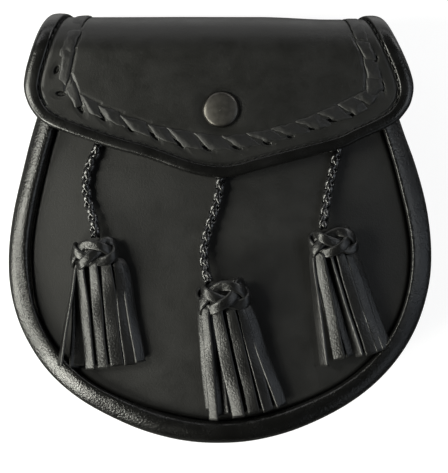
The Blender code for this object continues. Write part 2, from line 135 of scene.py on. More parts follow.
# The front rim along the outline, from its left end under the pouch to its right end: share of
# the way, how far it stands out of the outline, its width, and how far its ridge leans inward.
FRONT_RIM_STATIONS = (
    (0.00, 0.0009, 0.0088, 0.3), (0.05, 0.0009, 0.0090, 0.5), (0.075, 0.0006, 0.0090, 0.45),
    (0.10, 0.0001, 0.0089, 0.45), (0.14, -0.0002, 0.0091, 0.4), (0.18, -0.0001, 0.0092, 0.5),
    (0.215, 0.0004, 0.0093, 0.75), (0.24, 0.0005, 0.0088, 1.0), (0.28, 0.0005, 0.0086, 1.0),
    (0.31, 0.0008, 0.0089, 1.0), (0.345, 0.0009, 0.0087, 1.0), (0.38, 0.0009, 0.0089, 1.0),
    (0.42, 0.0012, 0.0096, 0.6), (0.455, 0.0010, 0.0098, 0.4), (0.50, 0.0005, 0.0093, 0.5),
    (0.54, 0.0009, 0.0096, 0.6), (0.57, 0.0011, 0.0097, 0.6), (0.60, 0.0009, 0.0094, 0.7),
    (0.64, 0.0005, 0.0089, 0.7), (0.70, 0.0003, 0.0085, 0.8), (0.75, 0.0007, 0.0084, 1.0),
    (0.79, 0.0013, 0.0087, 1.0), (0.82, 0.0013, 0.0088, 1.0), (0.87, 0.0015, 0.0094, 1.0),
    (0.905, 0.0012, 0.0089, 1.0), (0.94, 0.0005, 0.0082, 1.0), (1.00, 0.0004, 0.0080, 1.0),
)

# Sections of a roll from its outer edge over its top and back: share of width, of height.
ROUND_ROLL = (
    (0.0, 0.42), (0.06, 0.66), (0.2, 0.87), (0.38, 0.98), (0.55, 1.0), (0.7, 0.95), (0.85, 0.8),
    (0.95, 0.58), (1.0, 0.36), (0.93, 0.14), (0.7, 0.0), (0.35, 0.0), (0.08, 0.16),
)
LEANING_ROLL = (
    (0.0, 0.4), (0.05, 0.56), (0.2, 0.70), (0.42, 0.84), (0.64, 0.945), (0.86, 1.0), (0.955, 0.935),
    (1.0, 0.7), (0.985, 0.36), (0.9, 0.1), (0.7, 0.0), (0.35, 0.0), (0.08, 0.16),
)
FLAT_ROLL = (
    (0.0, 0.5), (0.03, 0.7), (0.13, 0.88), (0.3, 0.97), (0.5, 1.0), (0.78, 0.99), (0.93, 0.95),
    (0.985, 0.84), (1.0, 0.55), (0.96, 0.2), (0.75, 0.0), (0.25, 0.0), (0.05, 0.2),
)

# The gusset's wall from back to front: height above the surface, distance inside the outline.
GUSSET_WALL = (
    (0.0079, 0.0034), (0.0110, 0.0050), (0.0155, 0.0059), (0.0200, 0.0052), (0.0227, 0.0040),
)

# The flap's lower edge from the left corner to the right one: across, along.
FLAP_LOWER = (
    (-0.0764, 0.0470), (-0.0726, 0.0438), (-0.0657, 0.0406), (-0.0545, 0.0366), (-0.0435, 0.0330),
    (-0.0300, 0.0292), (-0.0162, 0.0242), (-0.0078, 0.0219), (0.0008, 0.0210), (0.0090, 0.0220),
    (0.0174, 0.0244), (0.0342, 0.0287), (0.0510, 0.0332), (0.0594, 0.0370), (0.0678, 0.0408),
    (0.0740, 0.0442), (0.0772, 0.0472),
)

# The flap's sides from its corners up, over the bend and down to the tail: along, how far the
# left side and the right side are from the middle.
FLAP_SIDE = (
    (0.0471, 0.0765, 0.0771), (0.0522, 0.0797, 0.0804), (0.0589, 0.0815, 0.0817),
    (0.0656, 0.0806, 0.0806), (0.0723, 0.0784, 0.0784), (0.0800, 0.0754, 0.0754),
    (0.0890, 0.0720, 0.0720), (0.0980, 0.0686, 0.0686), (0.1070, 0.0646, 0.0646),
    (0.1150, 0.0608, 0.0608), (0.1210, 0.0588, 0.0588), (0.1320, 0.0576, 0.0576),
)

# The lacing's strands in the flap's pattern, from the left end of the lacing to its right end:
# the corners (across, along) of the end that lies on top, towards the flap's middle and towards
# its rim, and the same corners of the end that goes down.
LACING_STRANDS = (
    (-0.0462, 0.1152, -0.0518, 0.1152, -0.0508, 0.1030, -0.0566, 0.1030),
    (-0.0502, 0.1050, -0.0564, 0.1050, -0.0573, 0.0815, -0.0623, 0.0808),
    (-0.0562, 0.0829, -0.0615, 0.0829, -0.0624, 0.0678, -0.0681, 0.0674),
    (-0.0591, 0.0751, -0.0644, 0.0747, -0.0644, 0.0567, -0.0677, 0.0570),
    (-0.0570, 0.0511, -0.0600, 0.0505, -0.0613, 0.0640, -0.0650, 0.0606),
    (-0.0581, 0.0561, -0.0542, 0.0482, -0.0493, 0.0521, -0.0464, 0.0448),
    (-0.0504, 0.0517, -0.0472, 0.0454, -0.0401, 0.0482, -0.0353, 0.0404),
    (-0.0416, 0.0477, -0.0362, 0.0408, -0.0286, 0.0440, -0.0251, 0.0371),
    (-0.0297, 0.0436, -0.0259, 0.0377, -0.0201, 0.0417, -0.0138, 0.0335),
    (-0.0221, 0.0421, -0.0145, 0.0339, -0.0086, 0.0400, -0.0027, 0.0323),
    (-0.0109, 0.0402, -0.0038, 0.0328, 0.0031, 0.0385, 0.0098, 0.0327),
    (0.0006, 0.0385, 0.0088, 0.0334, 0.0136, 0.0396, 0.0215, 0.0352),
    (0.0113, 0.0396, 0.0205, 0.0358, 0.0238, 0.0419, 0.0318, 0.0379),
    (0.0215, 0.0417, 0.0307, 0.0383, 0.0339, 0.0448, 0.0422, 0.0407),
    (0.0318, 0.0446, 0.0414, 0.0411, 0.0429, 0.0486, 0.0506, 0.0442),
    (0.0410, 0.0482, 0.0498, 0.0446, 0.0512, 0.0519, 0.0586, 0.0467),
    (0.0493, 0.0515, 0.0577, 0.0470, 0.0583, 0.0565, 0.0648, 0.0515),
    (0.0560, 0.0549, 0.0638, 0.0513, 0.0632, 0.0590, 0.0686, 0.0576),
    (0.0613, 0.0538, 0.0692, 0.0578, 0.0623, 0.0653, 0.0681, 0.0637),
    (0.0626, 0.0624, 0.0687, 0.0620, 0.0608, 0.0736, 0.0665, 0.0720),
    (0.0620, 0.0703, 0.0670, 0.0703, 0.0572, 0.0813, 0.0632, 0.0804),
    (0.0588, 0.0786, 0.0643, 0.0781, 0.0520, 0.1040, 0.0580, 0.1040),
    (0.0528, 0.1010, 0.0590, 0.1010, 0.0466, 0.1152, 0.0524, 0.1152),
)

# A strand: how thick it is in its middle and, halved, at its edges, how high it lies on the flap,
# how far its edges wander, how far its far end sinks, the sizes and heights of its bumps, the
# share of its length that its cut end takes, and how much its two ends narrow.
LACING_THICKNESS = 0.0008
LACING_EDGE_HALF = 0.0002
LACING_HEIGHT = FLAP_THICKNESS / 2 - 0.00025
LACING_WANDER = 0.00045
LACING_SINK = 0.0011
LACING_UNEVEN = ((0.0028, 0.00022), (0.0009, 0.00006))
LACING_CUT = 0.05
LACING_NARROW = (0.12, 0.2)

# The open slits of the lacing: across, along, their turn in degrees, length and width.
LACING_SLITS = (
    (-0.0616, 0.0749, -10, 0.0030, 0.0014), (-0.0675, 0.0663, 60, 0.0036, 0.0017),
    (-0.0660, 0.0563, 0, 0.0038, 0.0020), (-0.0579, 0.0502, -60, 0.0044, 0.0019),
    (-0.0491, 0.0469, -50, 0.0050, 0.0016), (-0.0366, 0.0412, -35, 0.0028, 0.0013),
    (-0.0270, 0.0385, -45, 0.0042, 0.0013), (-0.0173, 0.0358, -42, 0.0066, 0.0012),
    (-0.0048, 0.0333, -25, 0.0038, 0.0015), (0.0077, 0.0337, -15, 0.0038, 0.0013),
    (0.0203, 0.0356, -15, 0.0030, 0.0013), (0.0301, 0.0383, 0, 0.0026, 0.0013),
    (0.0399, 0.0419, 10, 0.0042, 0.0013), (0.0487, 0.0454, 8, 0.0066, 0.0016),
    (0.0566, 0.0477, 20, 0.0034, 0.0013), (0.0687, 0.0594, 100, 0.0042, 0.0011),
    (0.0665, 0.0707, 80, 0.0024, 0.0011),
)

# The middle lines of the cords, from the stop knots to the tassels, and the point of each that
# lies in its hole in the panel.
CORD_ROUTES = {
    "left": (
        (-0.0492, 0.0469, 0.0204), (-0.0493, 0.0453, 0.0226), (-0.0495, 0.0434, 0.0247),
        (-0.0498, 0.0412, 0.0268), (-0.0501, 0.0387, 0.0286), (-0.0505, 0.0358, 0.0297),
        (-0.0514, 0.0324, 0.0299), (-0.0530, 0.0290, 0.0299), (-0.0544, 0.0254, 0.0300),
        (-0.0554, 0.0214, 0.0300), (-0.0556, 0.0174, 0.0301), (-0.0552, 0.0134, 0.0303),
        (-0.0543, 0.0096, 0.0308), (-0.0532, 0.0060, 0.0317), (-0.0523, 0.0026, 0.0327),
        (-0.0518, -0.0008, 0.0335), (-0.0516, -0.0034, 0.0339),
    ),
    "centre": (
        (0.0019, 0.0352, 0.0214), (0.0019, 0.0338, 0.0236), (0.0018, 0.0320, 0.0258),
        (0.0017, 0.0298, 0.0281), (0.0016, 0.0270, 0.0302), (0.0014, 0.0236, 0.0312),
        (0.0009, 0.0196, 0.0314), (0.0002, 0.0150, 0.0316), (-0.0008, 0.0104, 0.0318),
        (-0.0024, 0.0052, 0.0319), (-0.0041, 0.0002, 0.0320), (-0.0054, -0.0048, 0.0321),
        (-0.0061, -0.0096, 0.0324), (-0.0060, -0.0140, 0.0332), (-0.0053, -0.0182, 0.0345),
        (-0.0046, -0.0208, 0.0354), (-0.0038, -0.0224, 0.0358),
    ),
    "right": (
        (0.0506, 0.0459, 0.0204), (0.0506, 0.0443, 0.0226), (0.0506, 0.0424, 0.0247),
        (0.0505, 0.0402, 0.0268), (0.0505, 0.0377, 0.0286), (0.0503, 0.0348, 0.0297),
        (0.0497, 0.0312, 0.0299), (0.0488, 0.0274, 0.0300), (0.0478, 0.0232, 0.0301),
        (0.0468, 0.0188, 0.0302), (0.0460, 0.0146, 0.0303), (0.0454, 0.0106, 0.0306),
        (0.0448, 0.0072, 0.0314), (0.0443, 0.0038, 0.0326), (0.0440, 0.0018, 0.0333),
        (0.0439, 0.0003, 0.0337),
    ),
}
HOLE_POINT = 3

# The cords' braid: the length of one turn, the step between two of its sections, how far its
# thongs lie from the middle and weave in and out, a thong's width and thickness, and how far each
# cord's braid is turned.
BRAID_TURN = 0.0112
BRAID_STEP = 0.00025
BRAID_RADIUS = 0.00125
BRAID_WEAVE = 0.00042
BRAID_THONG = (0.0025, 0.0014)
BRAID_START = {"left": 1.2, "centre": -0.785, "right": -0.785}

# Each tassel: the knot's middle, the fringe's end and the scale of the knot.
TASSELS = {
    "left": ((-0.0520, -0.0104), (-0.0436, -0.0566), 0.92),
    "centre": ((0.0019, -0.0286), (0.0106, -0.0756), 1.02),
    "right": ((0.0478, -0.0060), (0.0546, -0.0516), 0.92),
}

# The knot's sections along the tassel: distance from its middle, half width, half depth.
KNOT_SECTIONS = (
    (-0.0062, 0.0046, 0.0032), (-0.0050, 0.0078, 0.0050), (-0.0024, 0.0102, 0.0062),
    (0.0010, 0.0110, 0.0065), (0.0044, 0.0102, 0.0062), (0.0062, 0.0088, 0.0056),
)
KNOT_HALF_DEPTH = KNOT_SECTIONS[3][2]

# How far each tassel's knot is turned.
KNOT_TURN = {"left": 0.04, "centre": 0.39, "right": 0.64}

# A knot's thong goes round this many times and turns back this often at each end. Its width and
# thickness, how far its middle lies inside the form, how far it weaves in and out, how far from
# the ends it turns back, how full the form's sides are, and how far inside it all the core lies.
KNOT_LEADS = 3
KNOT_BIGHTS = 5
STOP_KNOT_BIGHTS = 4
KNOT_STEPS = 520
KNOT_THONG = (0.0045, 0.0017)
KNOT_INSET = 0.0009
KNOT_WEAVE = 0.00085
KNOT_END_INSET = 0.0019
KNOT_FULLNESS = 0.85
KNOT_CORE_INSET = 0.0012
KNOT_CORE_END = 0.0005

# The fringes' strips: how thick they are, how far down the knot they start, how far they wander,
# how many degrees they turn as they like, and how wide the hidden ones are.
STRIP_THICKNESS = 0.0014
STRIP_ROOT = 0.0030
STRIP_WANDER = 0.0009
STRIP_TURN = 10
HIDDEN_WIDTH = 0.0052
FRINGE_SEED = {"left": 1.3, "centre": 4.1, "right": 8.7}

# The strips of each fringe that show, from the top one down: where a strip leaves the knot and
# where it ends, its width, its roll at both ends in degrees (towards the left is positive), and
# its height above the panel at both ends.
FRINGE_STRIPS = {
    "left": (
        (-0.0598, -0.0160, -0.0664, -0.0578, 0.0050, 78, 74, 0.0070, 0.0078),
        (-0.0586, -0.0160, -0.0606, -0.0588, 0.0050, -30, -36, 0.0040, 0.0028),
        (-0.0576, -0.0158, -0.0539, -0.0592, 0.0045, 34, 28, 0.0098, 0.0056),
        (-0.0522, -0.0158, -0.0484, -0.0586, 0.0046, 17, 13, 0.0104, 0.0054),
        (-0.0470, -0.0158, -0.0424, -0.0577, 0.0056, 3, 2, 0.0098, 0.0050),
        (-0.0420, -0.0158, -0.0369, -0.0573, 0.0052, -15, -12, 0.0080, 0.0044),
        (-0.0398, -0.0158, -0.0326, -0.0562, 0.0050, -42, -36, 0.0056, 0.0038),
    ),
    "centre": (
        (-0.0070, -0.0350, -0.0036, -0.0764, 0.0044, 36, 32, 0.0078, 0.0030),
        (-0.0053, -0.0352, -0.0017, -0.0805, 0.0041, 26, 22, 0.0112, 0.0056),
        (-0.0030, -0.0352, 0.0006, -0.0786, 0.0044, -34, -36, 0.0070, 0.0030),
        (-0.0018, -0.0352, 0.0032, -0.0780, 0.0034, 30, 34, 0.0062, 0.0034),
        (-0.0004, -0.0350, 0.0087, -0.0792, 0.0056, 18, 15, 0.0112, 0.0056),
        (0.0052, -0.0350, 0.0150, -0.0776, 0.0050, 9, 8, 0.0104, 0.0052),
        (0.0096, -0.0348, 0.0212, -0.0766, 0.0046, -16, -12, 0.0092, 0.0048),
        (0.0126, -0.0346, 0.0264, -0.0745, 0.0054, -36, -28, 0.0070, 0.0038),
    ),
    "right": (
        (0.0393, -0.0120, 0.0443, -0.0579, 0.0048, 64, 48, 0.0072, 0.0044),
        (0.0426, -0.0120, 0.0507, -0.0550, 0.0052, 26, 20, 0.0100, 0.0054),
        (0.0446, -0.0120, 0.0558, -0.0536, 0.0048, -26, -24, 0.0062, 0.0030),
        (0.0466, -0.0120, 0.0594, -0.0538, 0.0044, 58, 54, 0.0082, 0.0046),
        (0.0512, -0.0120, 0.0645, -0.0530, 0.0048, -5, -5, 0.0094, 0.0052),
        (0.0550, -0.0122, 0.0684, -0.0514, 0.0046, -24, -20, 0.0080, 0.0046),
        (0.0574, -0.0128, 0.0712, -0.0504, 0.0048, -40, -28, 0.0056, 0.0038),
    ),
}

# The strips under them: how many lie in each layer, and the layer's height above the panel.
HIDDEN_LAYERS = ((5, 0.0048, 0.0028), (4, 0.0022, 0.0014))

# The thread of every seam: its radius, the length and the pitch of its stitches, and their arch.
THREAD_RADIUS = 0.00032
STITCH_LENGTH = 0.0018
STITCH_PITCH = 0.0026
STITCH_ARCH = (-0.9, 0.35, 0.6, 0.35, -0.9)
FLAP_STITCH = (0.0036, 0.0025, 0.0003)  # pitch, length, radius
LOOP_STITCH = (0.0024, 0.0016)
PLY_PITCH = 0.0005
PLY_SLANT = 1.4
PLY_DEPTH = 0.05

# Where the seams lie beside the rims and the ends of the tail and the loops, and how deep or high.
FRONT_SEAM_INSET = 0.0007
FRONT_SEAM_DEPTH = 0.00085
BACK_SEAM_INSET = 0.0022
FLAP_SEAM_INSET = 0.0005
FLAP_SEAM_HEIGHT = FLAP_THICKNESS / 2 - 0.0003
TAIL_SEAMS = (0.0025, 0.0055)
TAIL_SEAM_HALF = 0.048
TAIL_SEAM_HEIGHT = FLAP_THICKNESS / 2 + 0.00005
LOOP_SEAMS = (0.002, 0.0055)
LOOP_SEAM_Z = 0.0018

# How far the leather of the panel, the flap and the rims is uneven.
PANEL_UNEVEN = 0.00016
FLAP_UNEVEN = 0.00022
FRONT_RIM_UNEVEN = 0.00016
BACK_RIM_UNEVEN = 0.00012
FLAP_RIM_UNEVEN = 0.0001

# The front panel's outer rings, in millimetres from its edge, and how far its innermost ring lies
# on the way to its middle.
PANEL_RINGS = (0, 0.2, 0.5, 0.9, 1.4, 2.0, 2.8, 3.8, 5.0)
PANEL_INNER_SHARE = 0.985

# How finely the pieces are modelled.
PANEL_EDGE_STEPS = 330
PANEL_TOP_STEPS = 92
PANEL_DEPTH_STEPS = 44
GUSSET_STEPS = 430
RIM_STEPS = 440
SEAM_STEPS = 900
FLAP_GRID = (176, 170)
FLAP_RIM_STEPS = 560
FLAP_SEAM_STEPS = 1400

# The cap's profile from its top to its shank: distance from the middle, height.
CAP_PROFILE = (
    (0.0, CAP_HEIGHT), (0.0025, CAP_HEIGHT - 0.00009), (0.005, CAP_HEIGHT - 0.00038),
    (0.0064, CAP_HEIGHT - 0.00068), (0.0071, CAP_HEIGHT - 0.0011), (0.0075, CAP_HEIGHT - 0.0018),
    (CAP_RADIUS, CAP_HEIGHT - 0.0022), (0.0074, 0.0005), (0.0066, 0.0), (SHANK_RADIUS, 0.0001),
    (SHANK_RADIUS, -0.0022), (0.0, -0.0022),
)

# Colours of the leathers and the plated metal, and the size of the leather's pebbles.
RIM_DYE = (0.004, 0.004, 0.0038)
WORN = (0.03, 0.03, 0.028)
WORN_EDGE = (0.03, 0.03, 0.029)
PEBBLE = 0.0008
GUNMETAL_DARK = (0.082, 0.078, 0.071)
GUNMETAL_RUBBED = (0.23, 0.22, 0.2)

# How far from its middle the cap's worn edge begins, and from where it is polished all over.
POLISHED_EDGE = (0.0056, 0.0074)

# The board's part that lights the pouch fades in over this span. How pale the board and the room
# look, and the room's own weak light.
BOARD_LIT_Y = (0.095, 0.125)
BOARD_LEVEL = 0.87
ROOM_GLOW = (0.002, 0.002, 0.0021)

# The soft boxes: azimuth, elevation, distance, size, watts and, where it isn't white, colour.
WINDOW_COLOUR = (1.0, 1.0, 0.90)
SOFT_BOXES = {
    "low_window": (191, 20, 0.62, (0.34, 0.18), 2.9, WINDOW_COLOUR),
    "corner_window": (224, 27, 0.62, (0.13, 0.25), 3.2, WINDOW_COLOUR),
    "left_window": (171, 43, 0.40, (0.11, 0.17), 1.0, WINDOW_COLOUR),
    "right_fill": (-4, 25, 0.8, (0.4, 0.28), 0.42, (0.82, 0.9, 1.0)),
    "corner_fill": (-42, 24, 1.0, (0.5, 0.35), 0.4, (0.85, 0.92, 1.0)),
    "right_high": (5, 50, 0.45, (0.22, 0.16), 0.22, (0.9, 0.95, 1.0)),
    "right_top": (48, 24, 1.0, (0.5, 0.35), 1.9),
    "top_fill": (90, 14, 1.0, (1.0, 0.2), 1.0),
    "left_top": (120, 30, 1.0, (0.5, 0.35), 1.1),
}


# ---------------------------------------------------------------- curves and points


def smooth(points, steps=8):
    """A smooth curve through the points, with this many steps between two of them."""
    rows = np.array(points, float)
    rows = np.vstack([2 * rows[:1] - rows[1:2], rows, 2 * rows[-1:] - rows[-2:-1]])
    t = (np.arange(steps) / steps)[:, None]
    curve = []
    for a, b, c, d in zip(rows, rows[1:], rows[2:], rows[3:]):
        pull = (2 * a - 5 * b + 4 * c - d) * t**2 + (3 * b - a - 3 * c + d) * t**3
        curve.append(b + 0.5 * ((c - a) * t + pull))
    return np.vstack([*curve, rows[-2:-1]])


def smooth_ring(points, steps=3):
    """A smooth closed curve through the points."""
    rows = np.array(points, float)
    wrapped = np.vstack([rows[-2:], rows, rows[:3]])
    return smooth(wrapped, steps)[2 * steps : (2 + len(rows)) * steps]


def reach_of(points):
    """How far along the polyline each of its points is."""
    return np.concatenate([[0.0], np.cumsum(np.linalg.norm(np.diff(points, axis=0), axis=1))])


def at_reach(rows, at, reach):
    """Rows of numbers at these distances along a line, where each row has its own distance."""
    return np.stack([np.interp(at, reach, column) for column in rows.T], axis=1)


def evenly(points, count):
    reach = reach_of(points)
    return at_reach(points, np.linspace(0, reach[-1], count), reach)


def unit(vectors):
    return vectors / np.linalg.norm(vectors, axis=-1, keepdims=True)


def run_of(points):
    """The unit directions along a polyline."""
    return unit(np.gradient(points, axis=0))


def inward(points):
    """The unit normals on the left of a level path."""
    run = run_of(points[:, :2])
    return np.stack([-run[:, 1], run[:, 0]], axis=1)


def at_height(flat, height):
    """Level points, each raised to its height."""
    heights = np.broadcast_to(height, flat.shape[:-1])
    return np.concatenate([flat, heights[..., None]], axis=-1)


def fuller(wave, fullness):
    """A sine or cosine with fuller sides, for a section between an oval and a box."""
    return np.sign(wave) * np.abs(wave) ** fullness


def ease(value, span):
    """Rises softly from 0 to 1 over this span of values."""
    share = np.clip((value - span[0]) / (span[1] - span[0]), 0, 1)
    return share * share * (3 - 2 * share)


def soft_noise(points, size, seed=0.0):
    """Smooth noise from -1 to 1 at each point, its bumps this far apart."""
    flat = points.reshape(-1, 3) / size + seed
    return np.array([noise.noise(Vector(point)) for point in flat]).reshape(points.shape[:-1])


def wander(shares, pace, seed, row):
    """Smooth noise along a line, a different one for each seed and row."""
    return np.array([noise.noise(Vector((share * pace, seed, row))) for share in shares])


def pouch_path(top, count):
    """The pouch's outline from its top left, under it and up to its top right."""
    left = [(-half, up) for up, half in POUCH_EDGE]
    right = [(half, up) for up, half in reversed(POUCH_EDGE[:-1])]
    path = smooth(left + right, 24)
    return evenly(path[path[:, 1] < top], count)


def crown(x, y):
    """How far the front panel swells above its edge."""
    away = (x / CROWN_HALF[0]) ** 2 + ((y - CROWN_MID_Y) / CROWN_HALF[1]) ** 2
    return CROWN * (1 - np.minimum(away, 1.0)) ** CROWN_FULLNESS


def panel_top(x, y):
    """The height of the front panel's outer face."""
    return FRONT_Z + FRONT_THICKNESS + crown(x, y)


def flap_edge():
    """The flap's edge in its pattern: its left side, its lower edge and its right side."""
    right = [(away, along) for along, _, away in FLAP_SIDE]
    left = [(-away, along) for along, away, _ in reversed(FLAP_SIDE)]
    return smooth([*left[:-1], *FLAP_LOWER, *right[1:]])


def flap_rim_width(along):
    """The flap's rim is narrower along the lower edge than up its sides."""
    return np.interp(along, [0.040, 0.062], [0.0050, 0.0062])


def inside_rim(edge, inset):
    """A line this far inside the flap's rim."""
    return edge + inward(edge) * (flap_rim_width(edge[:, 1]) + inset)[:, None]


def fold(points):
    """Takes points from the flap's flat pattern (across, along, height) to their place."""
    x, along, height = np.moveaxis(np.asarray(points, float), -1, 0)
    turn = np.clip((along - BEND_Y) / BEND_LENGTH, 0, 1) * math.pi
    camber = FLAP_CAMBER * (1 - (x / FLAP_CAMBER_HALF) ** 2) * np.cos(turn / 2) ** 2
    reach = BEND_REACH[0] + (BEND_REACH[1] - BEND_REACH[0]) * ease(x, BEND_REACH_X)
    centre, rise = (FLAP_Z + TAIL_Z) / 2, (FLAP_Z - TAIL_Z) / 2
    y = BEND_Y + reach * np.sin(turn)
    y += np.minimum(along - BEND_Y, 0) - np.maximum(along - BEND_Y - BEND_LENGTH, 0)
    out_y, out_z = rise * np.sin(turn), reach * np.cos(turn)
    size = np.hypot(out_y, out_z)
    z = centre + rise * np.cos(turn) + camber
    across = x - FLAP_LEAN * ease(along, FLAP_LEAN_ALONG)
    return np.stack([across, y + out_y / size * height, z + out_z / size * height], axis=-1)


# ---------------------------------------------------------------- bodies and pieces


def grid_faces(rows, columns, around=False, start=0):
    """The faces of a grid of points. Its last column meets its first if it goes around."""
    index = np.arange(rows * columns).reshape(rows, columns) + start
    if around:
        index = np.hstack([index, index[:, :1]])
    corners = (index[:-1, :-1], index[:-1, 1:], index[1:, 1:], index[1:, :-1])
    return np.stack(corners, axis=-1).reshape(-1, 4).tolist()


def tube(rings, lay=None):
    """A closed body through rings of points, with a flat cap at each end."""
    rows, columns = rings.shape[:2]
    faces = grid_faces(rows, columns, around=True)
    faces.append(list(range(columns))[::-1])
    faces.append(list(range((rows - 1) * columns, rows * columns)))
    return rings.reshape(-1, 3), faces, lay


def wall(front, back, around=False):
    """A closed leather wall between two grids of points, its front and its back."""
    rows, columns = front.shape[:2]
    count = rows * columns
    faces = grid_faces(rows, columns, around)
    faces += [face[::-1] for face in grid_faces(rows, columns, around, count)]
    index = np.arange(count).reshape(rows, columns)
    if around:
        rim = [*index[0], index[0, 0]]
        middle = index[-1].tolist()
        faces += [middle, [at + count for at in reversed(middle)]]
    else:
        rim = [*index[0], *index[1:, -1], *index[-1, -2::-1], *index[-2::-1, 0]]
    faces += [[b, a, a + count, b + count] for a, b in zip(rim, rim[1:])]
    return np.vstack([front.reshape(-1, 3), back.reshape(-1, 3)]), faces, None


def edit(mesh, change=None):
    """Makes a change to a mesh, if there is one, and turns its faces outward."""
    shape = bmesh.new()
    shape.from_mesh(mesh)
    if change:
        change(shape)
    bmesh.ops.recalc_face_normals(shape, faces=shape.faces)
    shape.to_mesh(mesh)
    shape.free()


def link(name, data):
    made = bpy.data.objects.new(name, data)
    bpy.context.scene.collection.objects.link(made)
    return made


def show(name, mesh, finish, replaces=()):
    """One mesh as a piece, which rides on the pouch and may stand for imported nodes."""
    made = link(name, mesh)
    mesh.shade_smooth()
    mesh.materials.clear()
    mesh.materials.append(finish)
    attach(made, "root")
    if replaces:
        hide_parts(*replaces)
    return made


def piece(name, bodies, finish, replaces=()):
    """One piece of these bodies: points, faces and the lay of the leather or thread."""
    points, faces, lays, start = [], [], [], 0
    for body_points, body_faces, lay in bodies:
        points.append(body_points)
        faces += [[at + start for at in face] for face in body_faces]
        lays.append(np.zeros((len(body_points), 3)) if lay is None else lay.reshape(-1, 3))
        start += len(body_points)
    mesh = bpy.data.meshes.new(name)
    mesh.from_pydata(np.vstack(points).tolist(), [], faces)
    layer = mesh.attributes.new("lay", "FLOAT_VECTOR", "POINT")
    layer.data.foreach_set("vector", np.vstack(lays).astype(np.float32).ravel())
    edit(mesh)
    return show(name, mesh, finish, replaces)


def strap(middle, side, up, widths, thickness, count=12, fullness=0.45):
    """A flat strap along a line: the way it faces and its width at each point.

    Its lay holds how far along and across each point is, and how near a cut edge.
    """
    angle = np.arange(count) / count * 2 * math.pi
    across = fuller(np.cos(angle), fullness) / 2
    raised = fuller(np.sin(angle), fullness) / 2
    widths = np.broadcast_to(widths, len(middle))
    rings = middle[:, None] + across[:, None] * widths[:, None, None] * side[:, None]
    rings += raised[:, None] * thickness * up[:, None]
    lay = np.zeros(rings.shape)
    lay[..., 0] = reach_of(middle)[:, None]
    lay[..., 1] = across * np.mean(widths)
    lay[..., 2] = np.clip((np.abs(across) - 0.4) * 10, 0, 1)
    return tube(rings, lay)


def stitches(seam, up, pitch=STITCH_PITCH, length=STITCH_LENGTH, radius=THREAD_RADIUS):
    """Short arched threads along a seam, which faces up at each of its points."""
    reach = reach_of(seam)
    ups = np.broadcast_to(up, seam.shape)
    bodies = []
    for start in np.arange(pitch / 2, reach[-1] - length, pitch):
        at = start + np.linspace(0, length, len(STITCH_ARCH))
        facing = at_reach(ups, at, reach)
        middle = at_reach(seam, at, reach) + facing * (np.array(STITCH_ARCH) * radius)[:, None]
        side = np.cross(run_of(middle), facing)
        bodies.append(strap(middle, side, facing, radius * 2, radius * 2, 6, 1.0))
    return bodies


def roll_rings(outline, stations, sections, height, uneven):
    """The rings of a padded roll along a level outline, in across, along and up."""
    rings = []
    for point, normal, (outset, width, lean) in zip(outline, inward(outline), stations):
        section = sections[0] * (1 - lean) + sections[1] * lean
        flat = point + normal * (section[:, :1] * width - outset)
        rings.append(at_height(flat, section[:, 1] * height))
    rings = np.array(rings)
    rings[..., 2] += soft_noise(rings, 0.009) * uneven
    return rings


def plain_rings(outline, widths, section, height, uneven):
    """The rings of a padded roll that keeps one section and starts at its outline."""
    widths = np.broadcast_to(widths, len(outline))
    stations = np.stack([widths * 0, widths, widths * 0], axis=1)
    return roll_rings(outline, stations, [smooth_ring(section)] * 2, height, uneven)


def round_ends(rings, length=0.002, steps=6):
    """Rounds a roll's two ends over this length."""
    turns = np.arange(1, steps + 1) / steps * math.pi / 2 * 0.96
    ends = []
    for end, inner in ((rings[0], rings[1]), (rings[-1], rings[-2])):
        middle = end.mean(axis=0)
        out = unit((end - inner).mean(axis=0)) * length
        ends.append([middle + (end - middle) * math.cos(a) + out * math.sin(a) for a in turns])
    return np.array([*ends[0][::-1], *rings, *ends[1]])


# ---------------------------------------------------------------- finishes


